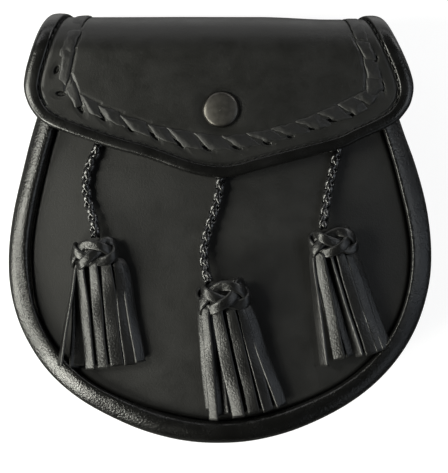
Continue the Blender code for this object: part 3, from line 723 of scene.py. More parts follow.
class Graph:
    """A node tree, with short ways to make the nodes of the finishes."""

    def __init__(self, tree):
        self.tree = tree

    def feed(self, node, inputs):
        """Sets a node's inputs, each to a value or to another node's output."""
        for name, value in inputs.items():
            if isinstance(value, bpy.types.NodeSocket):
                self.tree.links.new(value, node.inputs[name])
            else:
                node.inputs[name].default_value = value

    def add(self, kind, inputs, **settings):
        """The outputs of a new node with these inputs and settings."""
        made = self.tree.nodes.new("ShaderNode" + kind)
        for name, value in settings.items():
            setattr(made, name, value)
        self.feed(made, inputs)
        return made.outputs

    def place(self):
        return self.add("TexCoord", {})["Object"]

    def split(self, vector):
        return self.add("SeparateXYZ", {0: vector})

    def lay(self):
        """How far along and across a point is, and how near a cut edge."""
        return self.split(self.add("Attribute", {}, attribute_name="lay")["Vector"])

    def math(self, operation, *values):
        return self.add("Math", dict(enumerate(values)), operation=operation)[0]

    def vector_math(self, operation, *values):
        return self.add("VectorMath", dict(enumerate(values)), operation=operation)

    def noise(self, place, scale, detail, rough=0.5):
        inputs = {"Vector": place, "Scale": scale, "Detail": detail, "Roughness": rough}
        return self.add("TexNoise", inputs)

    def spread(self, value, low, high, to_low=0.0, to_high=1.0):
        """Spreads a value from one range to another, softly at both ends."""
        inputs = {"Value": value, "From Min": low, "From Max": high, "To Min": to_low, "To Max": to_high}
        return self.add("MapRange", inputs, interpolation_type="SMOOTHSTEP")[0]

    def wear(self, **sizes):
        """Where the surface is rubbed."""
        inputs = {label.replace("_", " "): size for label, size in sizes.items()}
        return self.add("Group", inputs, node_tree=WEAR)["Wear"]

    def mix(self, share, first, second, blend_type="MIX"):
        """A colour between two others, each a plain colour or a node's output."""
        ends = [(*colour, 1.0) if isinstance(colour, tuple) else colour for colour in (first, second)]
        inputs = {0: share, 6: ends[0], 7: ends[1]}
        return self.add("Mix", inputs, data_type="RGBA", blend_type=blend_type)[2]

    def shade(self, colour, value):
        """A colour made darker or lighter by a value."""
        tone = self.add("CombineColor", {0: value, 1: value, 2: value})[0]
        return self.mix(1.0, colour, tone, "MULTIPLY")

    def bump(self, height, strength=1.0, distance=MM):
        return self.add("Bump", {"Height": height, "Strength": strength, "Distance": distance})[0]


def grey(level):
    return (level, level, level)


def new_group(name, inputs, outputs):
    """A node group: its graph, what its named inputs give, and its output node."""
    tree = bpy.data.node_groups.new(name, "ShaderNodeTree")
    for label, value in inputs.items():
        socket = tree.interface.new_socket(label, in_out="INPUT", socket_type="NodeSocketFloat")
        socket.default_value = value
    for label in outputs:
        tree.interface.new_socket(label, in_out="OUTPUT", socket_type="NodeSocketFloat")
    return Graph(tree), tree.nodes.new("NodeGroupInput").outputs, tree.nodes.new("NodeGroupOutput")


def make_hide_grain():
    """Leather's grain: pebbles parted by fine creases, with pores, uneven dye and painted shade in the
    creases.
    """
    sizes = {"Pebble Size": 0.001, "Crease Depth": 0.05, "Pore Depth": 0.03, "Unevenness": 0.3}
    graph, given, output = new_group("hide_grain", sizes, ("Height", "Shade", "Polish"))
    place = graph.place()
    bend = graph.vector_math("SUBTRACT", graph.noise(place, 420.0, 1.0)["Color"], grey(0.5))[0]
    shifted = graph.vector_math("MULTIPLY_ADD", bend, grey(0.0009), place)[0]
    cells = {"Vector": shifted, "Scale": graph.math("DIVIDE", 1.0, given["Pebble Size"])}
    crease = graph.add("TexVoronoi", cells, feature="DISTANCE_TO_EDGE")["Distance"]
    pebbles = graph.math("MULTIPLY", graph.spread(crease, 0.0, 0.22), given["Crease Depth"])
    pores = graph.spread(graph.noise(place, 1250.0, 2.0, 0.45)[0], 0.78, 0.24)
    mottle = graph.math("SUBTRACT", graph.noise(place, 38.0, 4.0, 0.6)[0], 0.5)
    shade = graph.math("MULTIPLY", mottle, given["Unevenness"])
    # The creases are painted up to a quarter darker: painted shade, on top of the uneven dye.
    dye_and_crease_shade = graph.math("ADD", shade, graph.spread(crease, 0.0, 0.1, -0.25, 0.0))
    polish = graph.noise(place, 95.0, 5.0, 0.65)[0]
    results = {
        "Height": graph.math("ADD", pebbles, graph.math("MULTIPLY", pores, given["Pore Depth"])),
        "Shade": graph.math("ADD", dye_and_crease_shade, 1.0),
        "Polish": graph.math("SUBTRACT", polish, 0.5),
    }
    graph.feed(output, results)
    return graph.tree


def make_edge_wear():
    """Where leather or metal is rubbed: its raised edges, broken up by noise."""
    sizes = {"Edge": 0.52, "Amount": 0.6, "Patch Size": 0.004}
    graph, given, output = new_group("edge_wear", sizes, ("Wear",))
    point = graph.add("NewGeometry", {})["Pointiness"]
    edges = graph.spread(graph.math("SUBTRACT", point, given["Edge"]), 0.0, 0.05)
    scale = graph.math("DIVIDE", 1.0, given["Patch Size"])
    broken = graph.spread(graph.noise(graph.place(), scale, 4.0)[0], 0.35, 0.65)
    worn = graph.math("MULTIPLY", edges, broken)
    graph.feed(output, {"Wear": graph.math("MULTIPLY", worn, given["Amount"])})
    return graph.tree


def new_material(name):
    """A material: itself, its graph and its shader."""
    made = bpy.data.materials.new(name)
    made.use_nodes = True
    return made, Graph(made.node_tree), made.node_tree.nodes["Principled BSDF"]


def leather_finish(
    name, dye, rough, crease, pores, worn=WORN, pebble=PEBBLE, coat=0.0, coat_rough=0.28, cut_edge=0.0
):
    """Dyed leather: grain with painted crease shade, uneven polish, rubbed edges, paler cut edges on
    straps.
    """
    made, graph, shader = new_material(name)
    sizes = {"Pebble Size": pebble, "Crease Depth": crease, "Pore Depth": pores}
    grain = graph.add("Group", sizes, node_tree=GRAIN)
    rubbed = graph.wear(Amount=0.6)
    # The grain's painted crease shade and its uneven dye darken the colour.
    colour = graph.shade(graph.mix(rubbed, dye, worn), grain["Shade"])
    if cut_edge:
        colour = graph.mix(graph.math("MULTIPLY", graph.lay()["Z"], cut_edge), colour, worn)
    polish = graph.math("MULTIPLY_ADD", grain["Polish"], 0.35, rough)
    looks = {
        "Base Color": colour,
        "Roughness": graph.math("MULTIPLY_ADD", rubbed, 0.12, polish),
        "Coat Weight": coat,
        "Coat Roughness": coat_rough,
        "Normal": graph.bump(grain["Height"]),
    }
    graph.feed(shader, looks)
    return made


def thread_finish():
    """Waxed thread, its plies slanting along its run, with painted shade in the grooves between them."""
    made, graph, shader = new_material("seam_thread")
    lay = graph.lay()
    slant = graph.math("ADD", lay["X"], graph.math("MULTIPLY", lay["Y"], PLY_SLANT))
    turns = graph.math("DIVIDE", slant, PLY_PITCH)
    wave = graph.math("SINE", graph.math("MULTIPLY", turns, 2 * math.pi))
    ply = graph.spread(wave, -1.0, 0.4)
    groove = graph.math("SUBTRACT", 1.0, ply)
    colour = graph.mix(graph.wear(Amount=0.5), grey(0.003), grey(0.0066))
    looks = {
        # The grooves between the plies are painted up to half as dark: painted shade.
        "Base Color": graph.shade(colour, graph.math("MULTIPLY_ADD", groove, -0.5, 1.0)),
        "Roughness": graph.math("MULTIPLY_ADD", groove, 0.2, 0.68),
        "Normal": graph.bump(graph.math("MULTIPLY", ply, PLY_DEPTH)),
    }
    graph.feed(shader, looks)
    return made


def gunmetal_finish():
    """Dark plated metal with fine turning marks round its middle, paler where it is rubbed."""
    made, graph, shader = new_material("gunmetal_plate")
    place = graph.place()
    split = graph.split(place)
    flat = graph.add("CombineXYZ", {0: split["X"], 1: split["Y"]})[0]
    radius = graph.vector_math("LENGTH", flat)["Value"]
    rings = graph.add("CombineXYZ", {0: radius, 2: split["Z"]})[0]
    marks = graph.noise(rings, 9000.0, 2.0)[0]
    stains = graph.spread(graph.noise(place, 420.0, 5.0)[0], 0.3, 0.7, 0.8, 1.15)
    rubbed = graph.wear(Amount=0.8, Patch_Size=0.0015)
    looks = {
        "Base Color": graph.shade(graph.mix(rubbed, GUNMETAL_DARK, GUNMETAL_RUBBED), stains),
        "Roughness": graph.spread(radius, *POLISHED_EDGE, 0.5, 0.34),
        "Metallic": 1.0,
        "Normal": graph.bump(marks, 0.35, 0.03 * MM),
    }
    graph.feed(shader, looks)
    return made


def floor_finish():
    """Pale matt board. Only its part beyond the pouch's top sends much light back to the pouch."""
    made, graph, shader = new_material("pale_board")
    place = graph.place()
    seen = graph.add("LightPath", {})["Is Camera Ray"]
    fibres = graph.spread(graph.noise(place, 60.0, 4.0)[0], 0.3, 0.7, 0.97, 1.0)
    unseen = graph.mix(graph.spread(graph.split(place)["Y"], *BOARD_LIT_Y), grey(0.0), grey(0.8))
    looks = {
        "Base Color": graph.shade(graph.mix(seen, grey(0.14), grey(0.3)), fibres),
        "Emission Color": graph.mix(seen, unseen, grey(BOARD_LEVEL)),
        "Emission Strength": 1.0,
        "Roughness": 0.9,
    }
    graph.feed(shader, looks)
    return made


GRAIN = make_hide_grain()
WEAR = make_edge_wear()
BODY_LEATHER = leather_finish("body_leather", (0.0072, 0.0072, 0.0066), 0.5, 0.012, 0.02, pebble=0.0007)
FLAP_LEATHER = leather_finish("flap_leather", (0.0086, 0.0086, 0.0077), 0.42, 0.012, 0.02)
RIM_LEATHER = leather_finish("rim_leather", RIM_DYE, 0.255, 0.004, 0.08, coat=0.05)
FLAP_RIM_LEATHER = leather_finish("flap_rim_leather", RIM_DYE, 0.27, 0.004, 0.03, coat=0.05)
THONG_LEATHER = leather_finish(
    "thong_leather", (0.005, 0.005, 0.0048), 0.5, 0.01, 0.035, coat=0.05, cut_edge=0.3
)
STRIP_LEATHER = leather_finish(
    "strip_leather", grey(0.005), 0.36, 0.004, 0.08, WORN_EDGE, coat=0.05, cut_edge=0.6
)
KNOT_LEATHER = leather_finish(
    "knot_leather", grey(0.0045), 0.31, 0.004, 0.06, WORN_EDGE, coat=0.05, cut_edge=0.3
)
BRAID_LEATHER = leather_finish(
    "braid_leather", (0.004, 0.004, 0.0042), 0.25, 0.0015, 0.0, grey(0.016), coat=0.6, coat_rough=0.2
)
SEAM_THREAD = thread_finish()
GUNMETAL = gunmetal_finish()


# ---------------------------------------------------------------- camera, light and floor


def make_camera():
    """Straight above the pouch, with its top at the top of the picture."""
    data = bpy.data.cameras.new("camera")
    data.sensor_fit = "HORIZONTAL"
    data.sensor_width = SENSOR_WIDTH
    data.lens = SENSOR_WIDTH * (CAMERA_PLACE[2] - SEEN_HEIGHT) / (IMAGE_WIDTH * PIXEL_SIZE)
    camera = link("camera", data)
    camera.location = CAMERA_PLACE
    bpy.context.scene.camera = camera


def soft_light(name, azimuth, elevation, distance, size, watts, colour=(1.0, 1.0, 1.0)):
    """A soft box round the pouch: its azimuth is counted from +X towards +Y."""
    a, e = math.radians(azimuth), math.radians(elevation)
    away = Vector((math.cos(a) * math.cos(e), math.sin(a) * math.cos(e), math.sin(e)))
    data = bpy.data.lights.new(name, "AREA")
    data.shape = "RECTANGLE"
    data.size, data.size_y = size
    data.energy = watts
    data.color = colour
    light = link(name, data)
    light.location = away * distance + Vector((0, 0, SEEN_HEIGHT))
    light.rotation_euler = away.to_track_quat("Z", "Y").to_euler()


def make_studio():
    """Low windows on the left, weak soft boxes at the right and the top, and a pale floor."""
    for name, settings in SOFT_BOXES.items():
        soft_light(name, *settings)
    world = bpy.data.worlds.new("studio")
    world.use_nodes = True
    graph = Graph(world.node_tree)
    seen = graph.add("LightPath", {})["Is Camera Ray"]
    glow = graph.mix(seen, ROOM_GLOW, grey(BOARD_LEVEL))
    graph.feed(world.node_tree.nodes["Background"], {"Color": glow})
    bpy.context.scene.world = world
    bpy.context.scene.view_settings.view_transform = "Standard"
    mesh = bpy.data.meshes.new("floor")
    edit(mesh, lambda shape: bmesh.ops.create_grid(shape, x_segments=2, y_segments=2, size=6.0))
    mesh.materials.append(floor_finish())
    floor = link("floor", mesh)
    floor.location.z = -0.0002


# ---------------------------------------------------------------- cords and their knots


def carried_sides(run):
    """Sides of a line with these directions, which turn as little as they can."""
    sides = [unit(np.cross(run[0], UP))]
    for direction in run[1:]:
        sides.append(unit(sides[-1] - direction * np.dot(sides[-1], direction)))
    return np.array(sides)


def braid(route, start):
    """A round braid of four thongs, two wound each way, which pass over and under each other."""
    curve = smooth(route)
    line = evenly(curve, int(reach_of(curve)[-1] / BRAID_STEP))
    run = run_of(line)
    side = carried_sides(run)
    up = np.cross(side, run)
    turn = reach_of(line) / BRAID_TURN * 2 * math.pi
    bodies = []
    for way in (1, -1):
        for first in (start, start + math.pi):
            angle = (first + way * turn)[:, None]
            out = side * np.cos(angle) + up * np.sin(angle)
            raised = BRAID_RADIUS + BRAID_WEAVE * way * np.cos(2 * turn)
            middle = line + out * raised[:, None]
            along = run_of(middle)
            across = unit(np.cross(along, out))
            bodies.append(strap(middle, across, np.cross(across, along), *BRAID_THONG, 14, 0.85))
    return bodies, line


def woven_knot(centre, along, across, sections, scale, bights=KNOT_BIGHTS, start=0.0):
    """A knot of one flat thong, which goes round three times over and under itself."""
    table = smooth(np.array(sections) * scale - np.array([0, KNOT_INSET, KNOT_INSET]) * scale, 6)
    low, high = table[0, 0], table[-1, 0]
    up = np.cross(across, along)

    def on_knot(angle, distance, raised):
        """Points of the knot's form, by the way round it and the distance along it."""
        half, depth = (np.interp(distance, table[:, 0], table[:, at]) + raised for at in (1, 2))
        aside = (fuller(np.cos(angle), KNOT_FULLNESS) * half)[..., None]
        lifted = (fuller(np.sin(angle), KNOT_FULLNESS) * depth)[..., None]
        return centre + across * aside + up * lifted + along * distance[..., None]

    turn = np.linspace(0, KNOT_LEADS * 2 * math.pi, KNOT_STEPS)
    phase = turn * bights / KNOT_LEADS
    distance = (low + high) / 2 + ((high - low) / 2 - KNOT_END_INSET * scale) * np.cos(phase)
    over = KNOT_WEAVE * scale * np.sin(2 * phase)
    line = on_knot(turn + start, distance, over)
    run = run_of(line)
    facing = line - on_knot(turn + start, distance, over - MM)
    facing = unit(facing - run * np.sum(facing * run, axis=1, keepdims=True))
    width, thickness = KNOT_THONG
    band = strap(line, np.cross(run, facing), facing, width * scale, thickness * scale, 14, 0.62)
    angles = np.linspace(0, 2 * math.pi, 33)[:-1]
    grid = np.meshgrid(angles, np.linspace(low + KNOT_CORE_END, high - KNOT_CORE_END, 14))
    return [band, tube(on_knot(*grid, -KNOT_CORE_INSET * scale))]


def tassel_line(side):
    """A tassel's frame: the middle of its knot, its run and its left-to-right direction."""
    knot, tip, scale = TASSELS[side]
    run = unit(np.array([tip[0] - knot[0], tip[1] - knot[1], 0.0]))
    across = np.array([-run[1], run[0], 0.0])
    height = panel_top(*knot) + GAP + KNOT_HALF_DEPTH * scale
    return np.array([*knot, height]), run, across, scale


def make_stop_knot(side, route):
    """The small round knot that keeps the cord from slipping out of its hole."""
    line = smooth(route)
    away = unit(line[0] - line[1])
    centre = line[0] + away * (STOP_KNOT_RADIUS + GAP)
    across = unit(np.cross(away, UP))
    turns = np.linspace(-1.2, 1.2, 7)
    ball = np.stack([np.sin(turns), np.cos(turns), np.cos(turns)], axis=1) * STOP_KNOT_RADIUS
    bodies = woven_knot(centre, away, across, ball, 1.0, STOP_KNOT_BIGHTS)
    return piece("stop_knot_woven_" + side, bodies, BRAID_LEATHER, ["stop_knot_" + side])


def make_tassel_knot(side):
    centre, run, across, scale = tassel_line(side)
    bodies = woven_knot(centre, run, across, KNOT_SECTIONS, scale, start=KNOT_TURN[side])
    nodes = ["tassel_knot_" + side]
    return piece("tassel_knot_woven_" + side, bodies, KNOT_LEATHER, nodes)


def make_cord(side, route):
    bodies, line = braid(route, BRAID_START[side])
    cord = piece("tassel_cord_braid_" + side, bodies, BRAID_LEATHER, ["tassel_cord_" + side])


# ---------------------------------------------------------------- fringes


def fringe_strip(side, row, seed):
    """One cut strip of leather from inside the knot to its free end, rolled on its own line."""
    x0, y0, x1, y1, width, roll0, roll1, high0, high1 = row
    knot, run, _, scale = tassel_line(side)
    root = knot[:2] + run[:2] * STRIP_ROOT * scale
    half = KNOT_HALF_DEPTH * scale
    spots = [
        (root[0] + (x0 - root[0]) * 0.62, root[1] + (y0 - root[1]) * 0.1, (high0 + half) / 2),
        (x0, y0, high0),
        (x0 + (x1 - x0) * 0.38, y0 + (y1 - y0) * 0.4, high0 + (high1 - high0) * 0.62),
        (x1, y1, high1),
    ]
    line = evenly(smooth(spots, 12), 40)
    share = np.linspace(0, 1, len(line))
    line[:, 0] += wander(share, 2.2, seed, 0.0) * STRIP_WANDER * share
    line[:, 2] += panel_top(*line[:, :2].T)
    run = run_of(line)
    level = unit(np.cross(run, UP))
    above = np.cross(level, run)
    ripple = wander(share, 3.1, seed, 5.0) * STRIP_TURN
    roll = np.radians(roll0 + (roll1 - roll0) * share + ripple)[:, None]
    across = level * np.cos(roll) - above * np.sin(roll)
    facing = above * np.cos(roll) + level * np.sin(roll)
    widths = width * (0.72 + 0.28 * np.minimum(share * 3.2, 1))
    return strap(line, across, facing, widths, STRIP_THICKNESS, 16)


def hidden_strips(side, count, high0, high1, seed):
    """A layer of strips under those that show, spread evenly under the knot."""
    x0, y0, x1, y1 = np.array(FRINGE_STRIPS[side])[:, :4].T
    starts = np.interp(np.linspace(0.12, 0.88, count), [0, 1], [x0[0], x0[-1]])
    ends = np.interp(np.linspace(0.06, 0.94, count), [0, 1], [x1[1], x1[-1]])
    ends_y = np.interp(ends, x1, y1) + 0.0012
    turns = wander(np.arange(count), 1.7, seed, 3.0) * 30
    strips = []
    for number, (start, end, end_y, turn) in enumerate(zip(starts, ends, ends_y, turns)):
        row = (start, y0[1], end, end_y, HIDDEN_WIDTH, turn, turn * 0.6, high0, high1)
        strips.append(fringe_strip(side, row, seed + number * 0.37))
    return strips


def make_fringe(side):
    seed = FRINGE_SEED[side]
    strips = [fringe_strip(side, row, seed + at * 0.61) for at, row in enumerate(FRINGE_STRIPS[side])]
    for layer, (count, high0, high1) in enumerate(HIDDEN_LAYERS):
        strips += hidden_strips(side, count, high0, high1, seed + 20 + layer * 7)
    nodes = ["tassel_fringe_" + side]
    return piece("tassel_fringe_strips_" + side, strips, STRIP_LEATHER, nodes)


# ---------------------------------------------------------------- the pouch's body


def make_roll(node, rings, finish):
    """A padded roll of these rings, in place of a packed rim."""
    rim = piece(node + "_roll", [tube(rings)], finish, [node])


def front_rim_path(count):
    """The outline under the front rim, and the rim's outset, width and lean along it."""
    table = smooth(FRONT_RIM_STATIONS, 6)
    return pouch_path(MOUTH_Y, count), at_reach(table[:, 1:], np.linspace(0, 1, count), table[:, 0])


def make_front_rim():
    sections = [smooth_ring(ROUND_ROLL), smooth_ring(LEANING_ROLL)]
    rings = roll_rings(*front_rim_path(RIM_STEPS), sections, FRONT_RIM_HEIGHT, FRONT_RIM_UNEVEN)
    rings[..., 2] += FRONT_RIM_BASE_Z
    make_roll("front_rim", round_ends(rings), RIM_LEATHER)


def make_back_rim():
    outline = pouch_path(BACK_TOP_Y, RIM_STEPS)
    rings = plain_rings(outline, BACK_RIM_WIDTH, ROUND_ROLL, BACK_RIM_HEIGHT, BACK_RIM_UNEVEN)
    rings[..., 2] = np.maximum(rings[..., 2], 0.0)
    make_roll("back_rim", round_ends(rings), RIM_LEATHER)


def panel_edge(count):
    """The front panel's edge just inside the front rim, and its inward normals."""
    outline, stations = front_rim_path(count)
    normals = inward(outline)
    return outline + normals * (stations[:, 1:2] - stations[:, :1] + GAP), normals


def punch(target, centre, direction, radius):
    """Cuts a round hole through a piece."""
    turn = Vector(direction).to_track_quat("Z", "Y").to_matrix().to_4x4()
    turn.translation = Vector(centre)
    sizes = {"segments": 32, "radius1": radius, "radius2": radius, "depth": PUNCH_LENGTH}
    mesh = bpy.data.meshes.new("punch")
    edit(mesh, lambda shape: bmesh.ops.create_cone(shape, cap_ends=True, matrix=turn, **sizes))
    cutter = link("punch", mesh)
    cut = target.modifiers.new("hole", "BOOLEAN")
    cut.object = cutter
    graph = bpy.context.evaluated_depsgraph_get()
    cut_mesh = bpy.data.meshes.new_from_object(target.evaluated_get(graph))
    target.modifiers.clear()
    target.data = cut_mesh
    bpy.data.objects.remove(cutter)


def make_front_panel():
    """The crowned panel, as rings of points from its edge in to its middle."""
    edge, _ = panel_edge(PANEL_EDGE_STEPS)
    top = edge[-1] + (edge[0] - edge[-1]) * np.linspace(0, 1, PANEL_TOP_STEPS)[1:-1, None]
    edge = np.vstack([edge, top])
    rays = np.array([0.0, CROWN_MID_Y]) - edge
    sizes = np.linalg.norm(rays, axis=1)
    shares = [depth * MM / sizes for depth in PANEL_RINGS]
    outer = shares[-1]
    steps = np.linspace(0, 1, PANEL_DEPTH_STEPS)[1:]
    shares += [outer + (PANEL_INNER_SHARE - outer) * step for step in steps]
    fronts, backs = [], []
    for share in shares:
        flat = edge + rays * share[:, None]
        depth = share * sizes
        lip = PANEL_LIP[0] * np.clip(1 - depth / PANEL_LIP[1], 0, 1) ** 2
        uneven = soft_noise(at_height(flat, 0.0), 0.024) * PANEL_UNEVEN * np.clip(depth / 0.006, 0, 1)
        high = panel_top(*flat.T)
        fronts.append(at_height(flat, high - lip + uneven))
        backs.append(at_height(flat, high - FRONT_THICKNESS))
    bodies = [wall(np.array(fronts), np.array(backs), around=True)]
    panel = piece("front_panel_leather", bodies, BODY_LEATHER, ["front_panel"])
    for route in CORD_ROUTES.values():
        before, hole, after = (Vector(route[HOLE_POINT + step]) for step in (-1, 0, 1))
        punch(panel, hole, after - before, CORD_HOLE_RADIUS)
    punch(panel, (*SNAP, FRONT_Z), UP, SHANK_HOLE_RADIUS)


def make_front_seam():
    """The thread of the front rim's seam, sunk in the groove beside the roll."""
    edge, normals = panel_edge(SEAM_STEPS)
    seam = edge + normals * FRONT_SEAM_INSET
    line = at_height(seam, panel_top(*seam.T) - FRONT_SEAM_DEPTH)
    piece("front_seam", stitches(line, UP), SEAM_THREAD)


def make_gusset():
    """The soft side wall, which draws in and puckers a little along its run."""
    path = pouch_path(MOUTH_Y, GUSSET_STEPS)
    normals = inward(path)
    reach = reach_of(path)
    fronts, backs = [], []
    for height, inset in smooth(GUSSET_WALL, 6):
        spots = np.stack([reach, np.full_like(reach, height * 0.5), np.zeros_like(reach)], axis=1)
        swell = GUSSET_PUCKER * (1 - abs((height - GUSSET_MIDDLE_Z) / GUSSET_HALF_HEIGHT) ** 2)
        pucker = (soft_noise(spots, 0.011) + 0.5 * soft_noise(spots, 0.0045, 7.0)) * swell
        for rows, depth in ((fronts, 0.0), (backs, GUSSET_THICKNESS)):
            rows.append(at_height(path + normals * (inset + depth + pucker)[:, None], height))
    piece("gusset_leather", [wall(np.array(fronts), np.array(backs))], BODY_LEATHER, ["gusset"])


# ---------------------------------------------------------------- the flap


def slit_depth(flat):
    """How far the slits of the lacing open the flap at points of its pattern."""
    depth = np.zeros(len(flat))
    for x, along, turn, length, width in LACING_SLITS:
        c, s = math.cos(math.radians(turn)), math.sin(math.radians(turn))
        dx, dy = flat[:, 0] - x, flat[:, 1] - along
        away = ((dx * c + dy * s) / (length / 2)) ** 2 + ((dy * c - dx * s) / (width / 2)) ** 2
        opened = SLIT_DEPTH * np.clip(1.5 - away, 0, 1)
        dipped = SLIT_DIP * np.clip(1 - away / 7, 0, 1)
        depth = np.maximum.reduce([depth, opened, dipped])
    return depth


def valley_depth(flat):
    """How far the thong's strands press the flap in along their inner edges."""
    depth = np.zeros(len(flat))
    for corners in LACING_STRANDS:
        start, end = np.array(corners[:2]), np.array(corners[4:6])
        run = end - start
        share = np.clip((flat[:, :2] - start) @ run / (run @ run), 0, 1)
        away = np.linalg.norm(flat[:, :2] - start - share[:, None] * run, axis=1)
        upright = abs(run[1]) / np.linalg.norm(run)
        depth = np.maximum(depth, VALLEY_DEPTH * upright * np.clip(1 - away / VALLEY_HALF, 0, 1))
    return depth


def groove_depth(flat):
    """How far the flap dips right beside its rim, less so along its lower edge."""
    middle = inside_rim(flap_edge(), GROOVE_INSET)
    middle = evenly(middle, len(middle) * 4)
    tree = KDTree(len(middle))
    for number, point in enumerate(at_height(middle, 0.0)):
        tree.insert(point, number)
    tree.balance()
    away = np.array([tree.find(point)[2] for point in at_height(flat[:, :2], 0.0)])
    dip = GROOVE_DEPTH * np.clip(1 - away / GROOVE_HALF, 0, 1) ** 0.7
    return dip * (0.25 + 0.75 * ease(flat[:, 1], (0.044, 0.056)))


def press_depth(flat):
    return np.maximum.reduce([slit_depth(flat), valley_depth(flat), groove_depth(flat)])


def flap_grid(rows, columns):
    """The flap's pattern between its sides, its lower edge and its tail."""
    inner = inside_rim(flap_edge(), -FLAP_TUCK)
    side = (len(FLAP_SIDE) - 1) * 8
    left = evenly(inner[: side + 1], rows)
    lower = evenly(inner[side:-side], columns)
    right = evenly(inner[-side - 1 :][::-1], rows)
    u = np.linspace(0, 1, columns)[None, :, None]
    v = np.linspace(0, 1, rows)[:, None, None]
    across = left[:, None] * (1 - u) + right[:, None] * u
    straight = left[-1] * (1 - u) + right[-1] * u
    return across + (lower[None] - straight) * v


def press_and_fold(shape):
    """Makes the flap's pattern finer where it is pressed in, presses it there and folds it."""
    centres = np.array([face.calc_center_median() for face in shape.faces])
    pressed = (press_depth(centres) > 0) & (centres[:, 2] > FLAP_THICKNESS * 0.45)
    near = [face for face, kept in zip(shape.faces, pressed) if kept]
    edges = list(dict.fromkeys(edge for face in near for edge in face.edges))
    bmesh.ops.subdivide_edges(shape, edges=edges, cuts=3, use_grid_fill=True)
    pattern = np.array([vert.co for vert in shape.verts])
    away = np.hypot(pattern[:, 0] - SNAP[0], pattern[:, 1] - SNAP[1])
    dish = DISH_DEPTH * np.clip((DISH_RADIUS - away) / 0.005, 0, 1) ** 2
    uneven = soft_noise(at_height(pattern[:, :2], 0.0), 0.03, 2.0) * FLAP_UNEVEN
    upper = pattern[:, 2] > 0
    pattern[upper, 2] -= (press_depth(pattern) + dish - uneven)[upper]
    for vert, place in zip(shape.verts, fold(pattern)):
        vert.co = place


def make_flap():
    flat = flap_grid(*FLAP_GRID)
    points, faces, _ = wall(at_height(flat, FLAP_THICKNESS / 2), at_height(flat, -FLAP_THICKNESS / 2))
    mesh = bpy.data.meshes.new("flap_leather")
    mesh.from_pydata(points.tolist(), [], faces)
    edit(mesh, press_and_fold)
    flap = show("flap_leather", mesh, FLAP_LEATHER, ["flap"])
    punch(flap, fold((*SNAP, 0.0)), UP, SHANK_HOLE_RADIUS)


def flap_rim_path(count):
    edge = flap_edge()
    return evenly(edge[edge[:, 1] < FLAP_RIM_END], count)


def make_flap_rim():
    outline = flap_rim_path(FLAP_RIM_STEPS)
    widths = flap_rim_width(outline[:, 1])
    rings = plain_rings(outline, widths, FLAT_ROLL, FLAP_RIM_HEIGHT, FLAP_RIM_UNEVEN)
    rings[..., 2] += FLAP_RIM_RISE - FLAP_RIM_HEIGHT / 2
    make_roll("flap_rim", fold(round_ends(rings)), FLAP_RIM_LEATHER)


def make_flap_seam():
    """The thread of the flap rim's seam, in the groove beside the roll, and of its tail."""
    flat = inside_rim(flap_rim_path(FLAP_SEAM_STEPS), FLAP_SEAM_INSET)
    heights = (FLAP_SEAM_HEIGHT, FLAP_SEAM_HEIGHT + MM)
    line, above = (fold(at_height(flat, height)) for height in heights)
    bodies = stitches(line, (above - line) / MM, *FLAP_STITCH)
    across = np.linspace(-TAIL_SEAM_HALF, TAIL_SEAM_HALF, 200)
    for inset in TAIL_SEAMS:
        tail = np.stack([across, np.full(200, FLAP_SIDE[-1][0] - inset)], axis=1)
        bodies += stitches(fold(at_height(tail, TAIL_SEAM_HEIGHT)), DOWN)
    piece("flap_seam", bodies, SEAM_THREAD)


def between(start, end, share):
    return start * (1 - share) + end * share


def lacing_strand(corners, number):
    """One strand of flat thong: raised and cut square at its near end, sunk at its far end."""
    near_in, near_out, far_in, far_out = np.array(corners).reshape(4, 2)
    far_out = far_out + (near_out - far_out) * 0.17
    far_in = far_in + (near_in - far_in) * 0.05
    s = np.concatenate([[0, 0.006, 0.02, 0.04, 0.065], np.linspace(0.1, 1, 27)])[:, None]
    t = (1 - np.cos(np.linspace(0, math.pi, 21))) / 2
    to_near, to_far = np.clip(1 - s / 0.1, 0, 1), np.clip((s - 0.75) / 0.25, 0, 1)
    narrow = 1 - LACING_NARROW[0] * to_near**2 - LACING_NARROW[1] * to_far**2
    across = (0.5 + (t - 0.5) * narrow)[..., None]
    flat = between(between(near_in, near_out, across), between(far_in, far_out, across), s[..., None])
    places = at_height(flat, number * 0.01)
    flat = flat + np.dstack([soft_noise(places + at, 0.0024) for at in (1.0, 2.0)]) * LACING_WANDER
    edge = (1 - np.abs(2 * t - 1) ** 3.6) ** 0.5
    to_cut = np.clip(1 - s / LACING_CUT, 0, 1)
    start = 0.35 * np.sqrt(1 - to_cut**2) + 0.65 * np.sin(np.clip(s / 0.34, 0, 1) * math.pi / 2)
    uneven = sum(soft_noise(places, size) * rise for size, rise in LACING_UNEVEN)
    top = (LACING_THICKNESS * (1.12 - 1.3 * s**2.2) + uneven) * edge * start
    low = LACING_HEIGHT - LACING_SINK * ease(s, (0.84, 0.98)) + t * 0
    front = fold(at_height(flat, low + LACING_EDGE_HALF + top))
    back = fold(at_height(flat, low - LACING_EDGE_HALF))
    lay = np.zeros(front.shape)
    lay[..., 2] = np.maximum(np.clip((np.abs(t * 2 - 1) - 0.85) * 8, 0, 1), to_cut)
    points, faces, _ = wall(front, back)
    return points, faces, np.vstack([lay.reshape(-1, 3)] * 2)


def make_lacing():
    """The thong's strands, each of which lies with one end on the strand before it."""
    bodies = [lacing_strand(corners, number) for number, corners in enumerate(LACING_STRANDS)]
    piece("flap_lacing_thong", bodies, THONG_LEATHER, ["flap_lacing"])


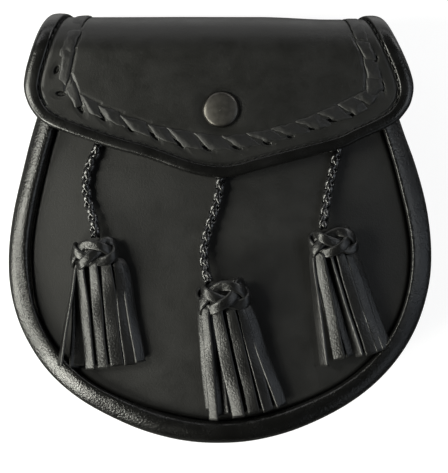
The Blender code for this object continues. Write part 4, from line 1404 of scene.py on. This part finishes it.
def make_snap_cap():
    """The stud's cap: a low dome with a rounded shoulder, a thin rolled rim and its shank."""
    radius, height = smooth(CAP_PROFILE, 4).T[..., None]
    radius = np.maximum(radius, 0.00002)
    angle = np.linspace(0, 2 * math.pi, 97)[:-1]
    rings = np.stack([radius * np.cos(angle), radius * np.sin(angle), height + angle * 0], axis=-1)
    cap = piece("snap_cap_dome", [tube(rings)], GUNMETAL, ["snap_cap"])
    base = fold((*SNAP, 0.0))[2] + FLAP_THICKNESS / 2 - CAP_SUNK
    cap.location = (SNAP[0], SNAP[1] - CAP_LOW, base)


# ---------------------------------------------------------------- the back


def softened(node, name):
    """A packed leather node's form with its sharp edges rounded."""
    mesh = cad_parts[node].data.copy()
    shape = bmesh.new()
    shape.from_mesh(mesh)
    bmesh.ops.remove_doubles(shape, verts=shape.verts, dist=0.005 * MM)
    bmesh.ops.dissolve_limit(shape, angle_limit=math.radians(2), verts=shape.verts, edges=shape.edges)
    shape.to_mesh(mesh)
    shape.free()
    made = show(name, mesh, BODY_LEATHER, [node])
    rounded = made.modifiers.new("rounded", "BEVEL")
    rounded.width = 0.4 * MM
    rounded.segments = 3
    rounded.limit_method = "ANGLE"
    rounded.angle_limit = math.radians(35)


def make_back_pieces():
    """The back panel, the strap loops, their seams and the hidden stud."""
    softened("back_panel", "back_panel_leather")
    path = pouch_path(BACK_TOP_Y - MM, SEAM_STEPS)
    seam = path + inward(path) * (BACK_RIM_WIDTH + BACK_SEAM_INSET)
    bodies = stitches(at_height(seam, BACK_Z), DOWN)
    for side in ("left", "right"):
        softened("strap_loop_" + side, "strap_loop_leather_" + side)
        start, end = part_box("strap_loop_" + side)
        across = np.linspace(start.x + 0.001, end.x - 0.001, 40)
        for y in (*(start.y + inset for inset in LOOP_SEAMS), *(end.y - inset for inset in LOOP_SEAMS)):
            row = at_height(np.stack([across, np.full(40, y)], axis=1), start.z + LOOP_SEAM_Z)
            bodies += stitches(row, DOWN, *LOOP_STITCH)
    piece("back_seams", bodies, SEAM_THREAD)
    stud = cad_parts["snap_stud"].data
    stud.materials.clear()
    stud.materials.append(GUNMETAL)


make_camera()
for cord_side, cord_route in CORD_ROUTES.items():
    stop = make_stop_knot(cord_side, cord_route)
    head = make_tassel_knot(cord_side)
    fringe = make_fringe(cord_side)
    make_cord(cord_side, cord_route)
make_front_rim()
make_back_rim()
make_front_panel()
make_front_seam()
make_gusset()
make_flap()
make_flap_rim()
make_flap_seam()
make_lacing()
make_snap_cap()
make_back_pieces()
make_studio()
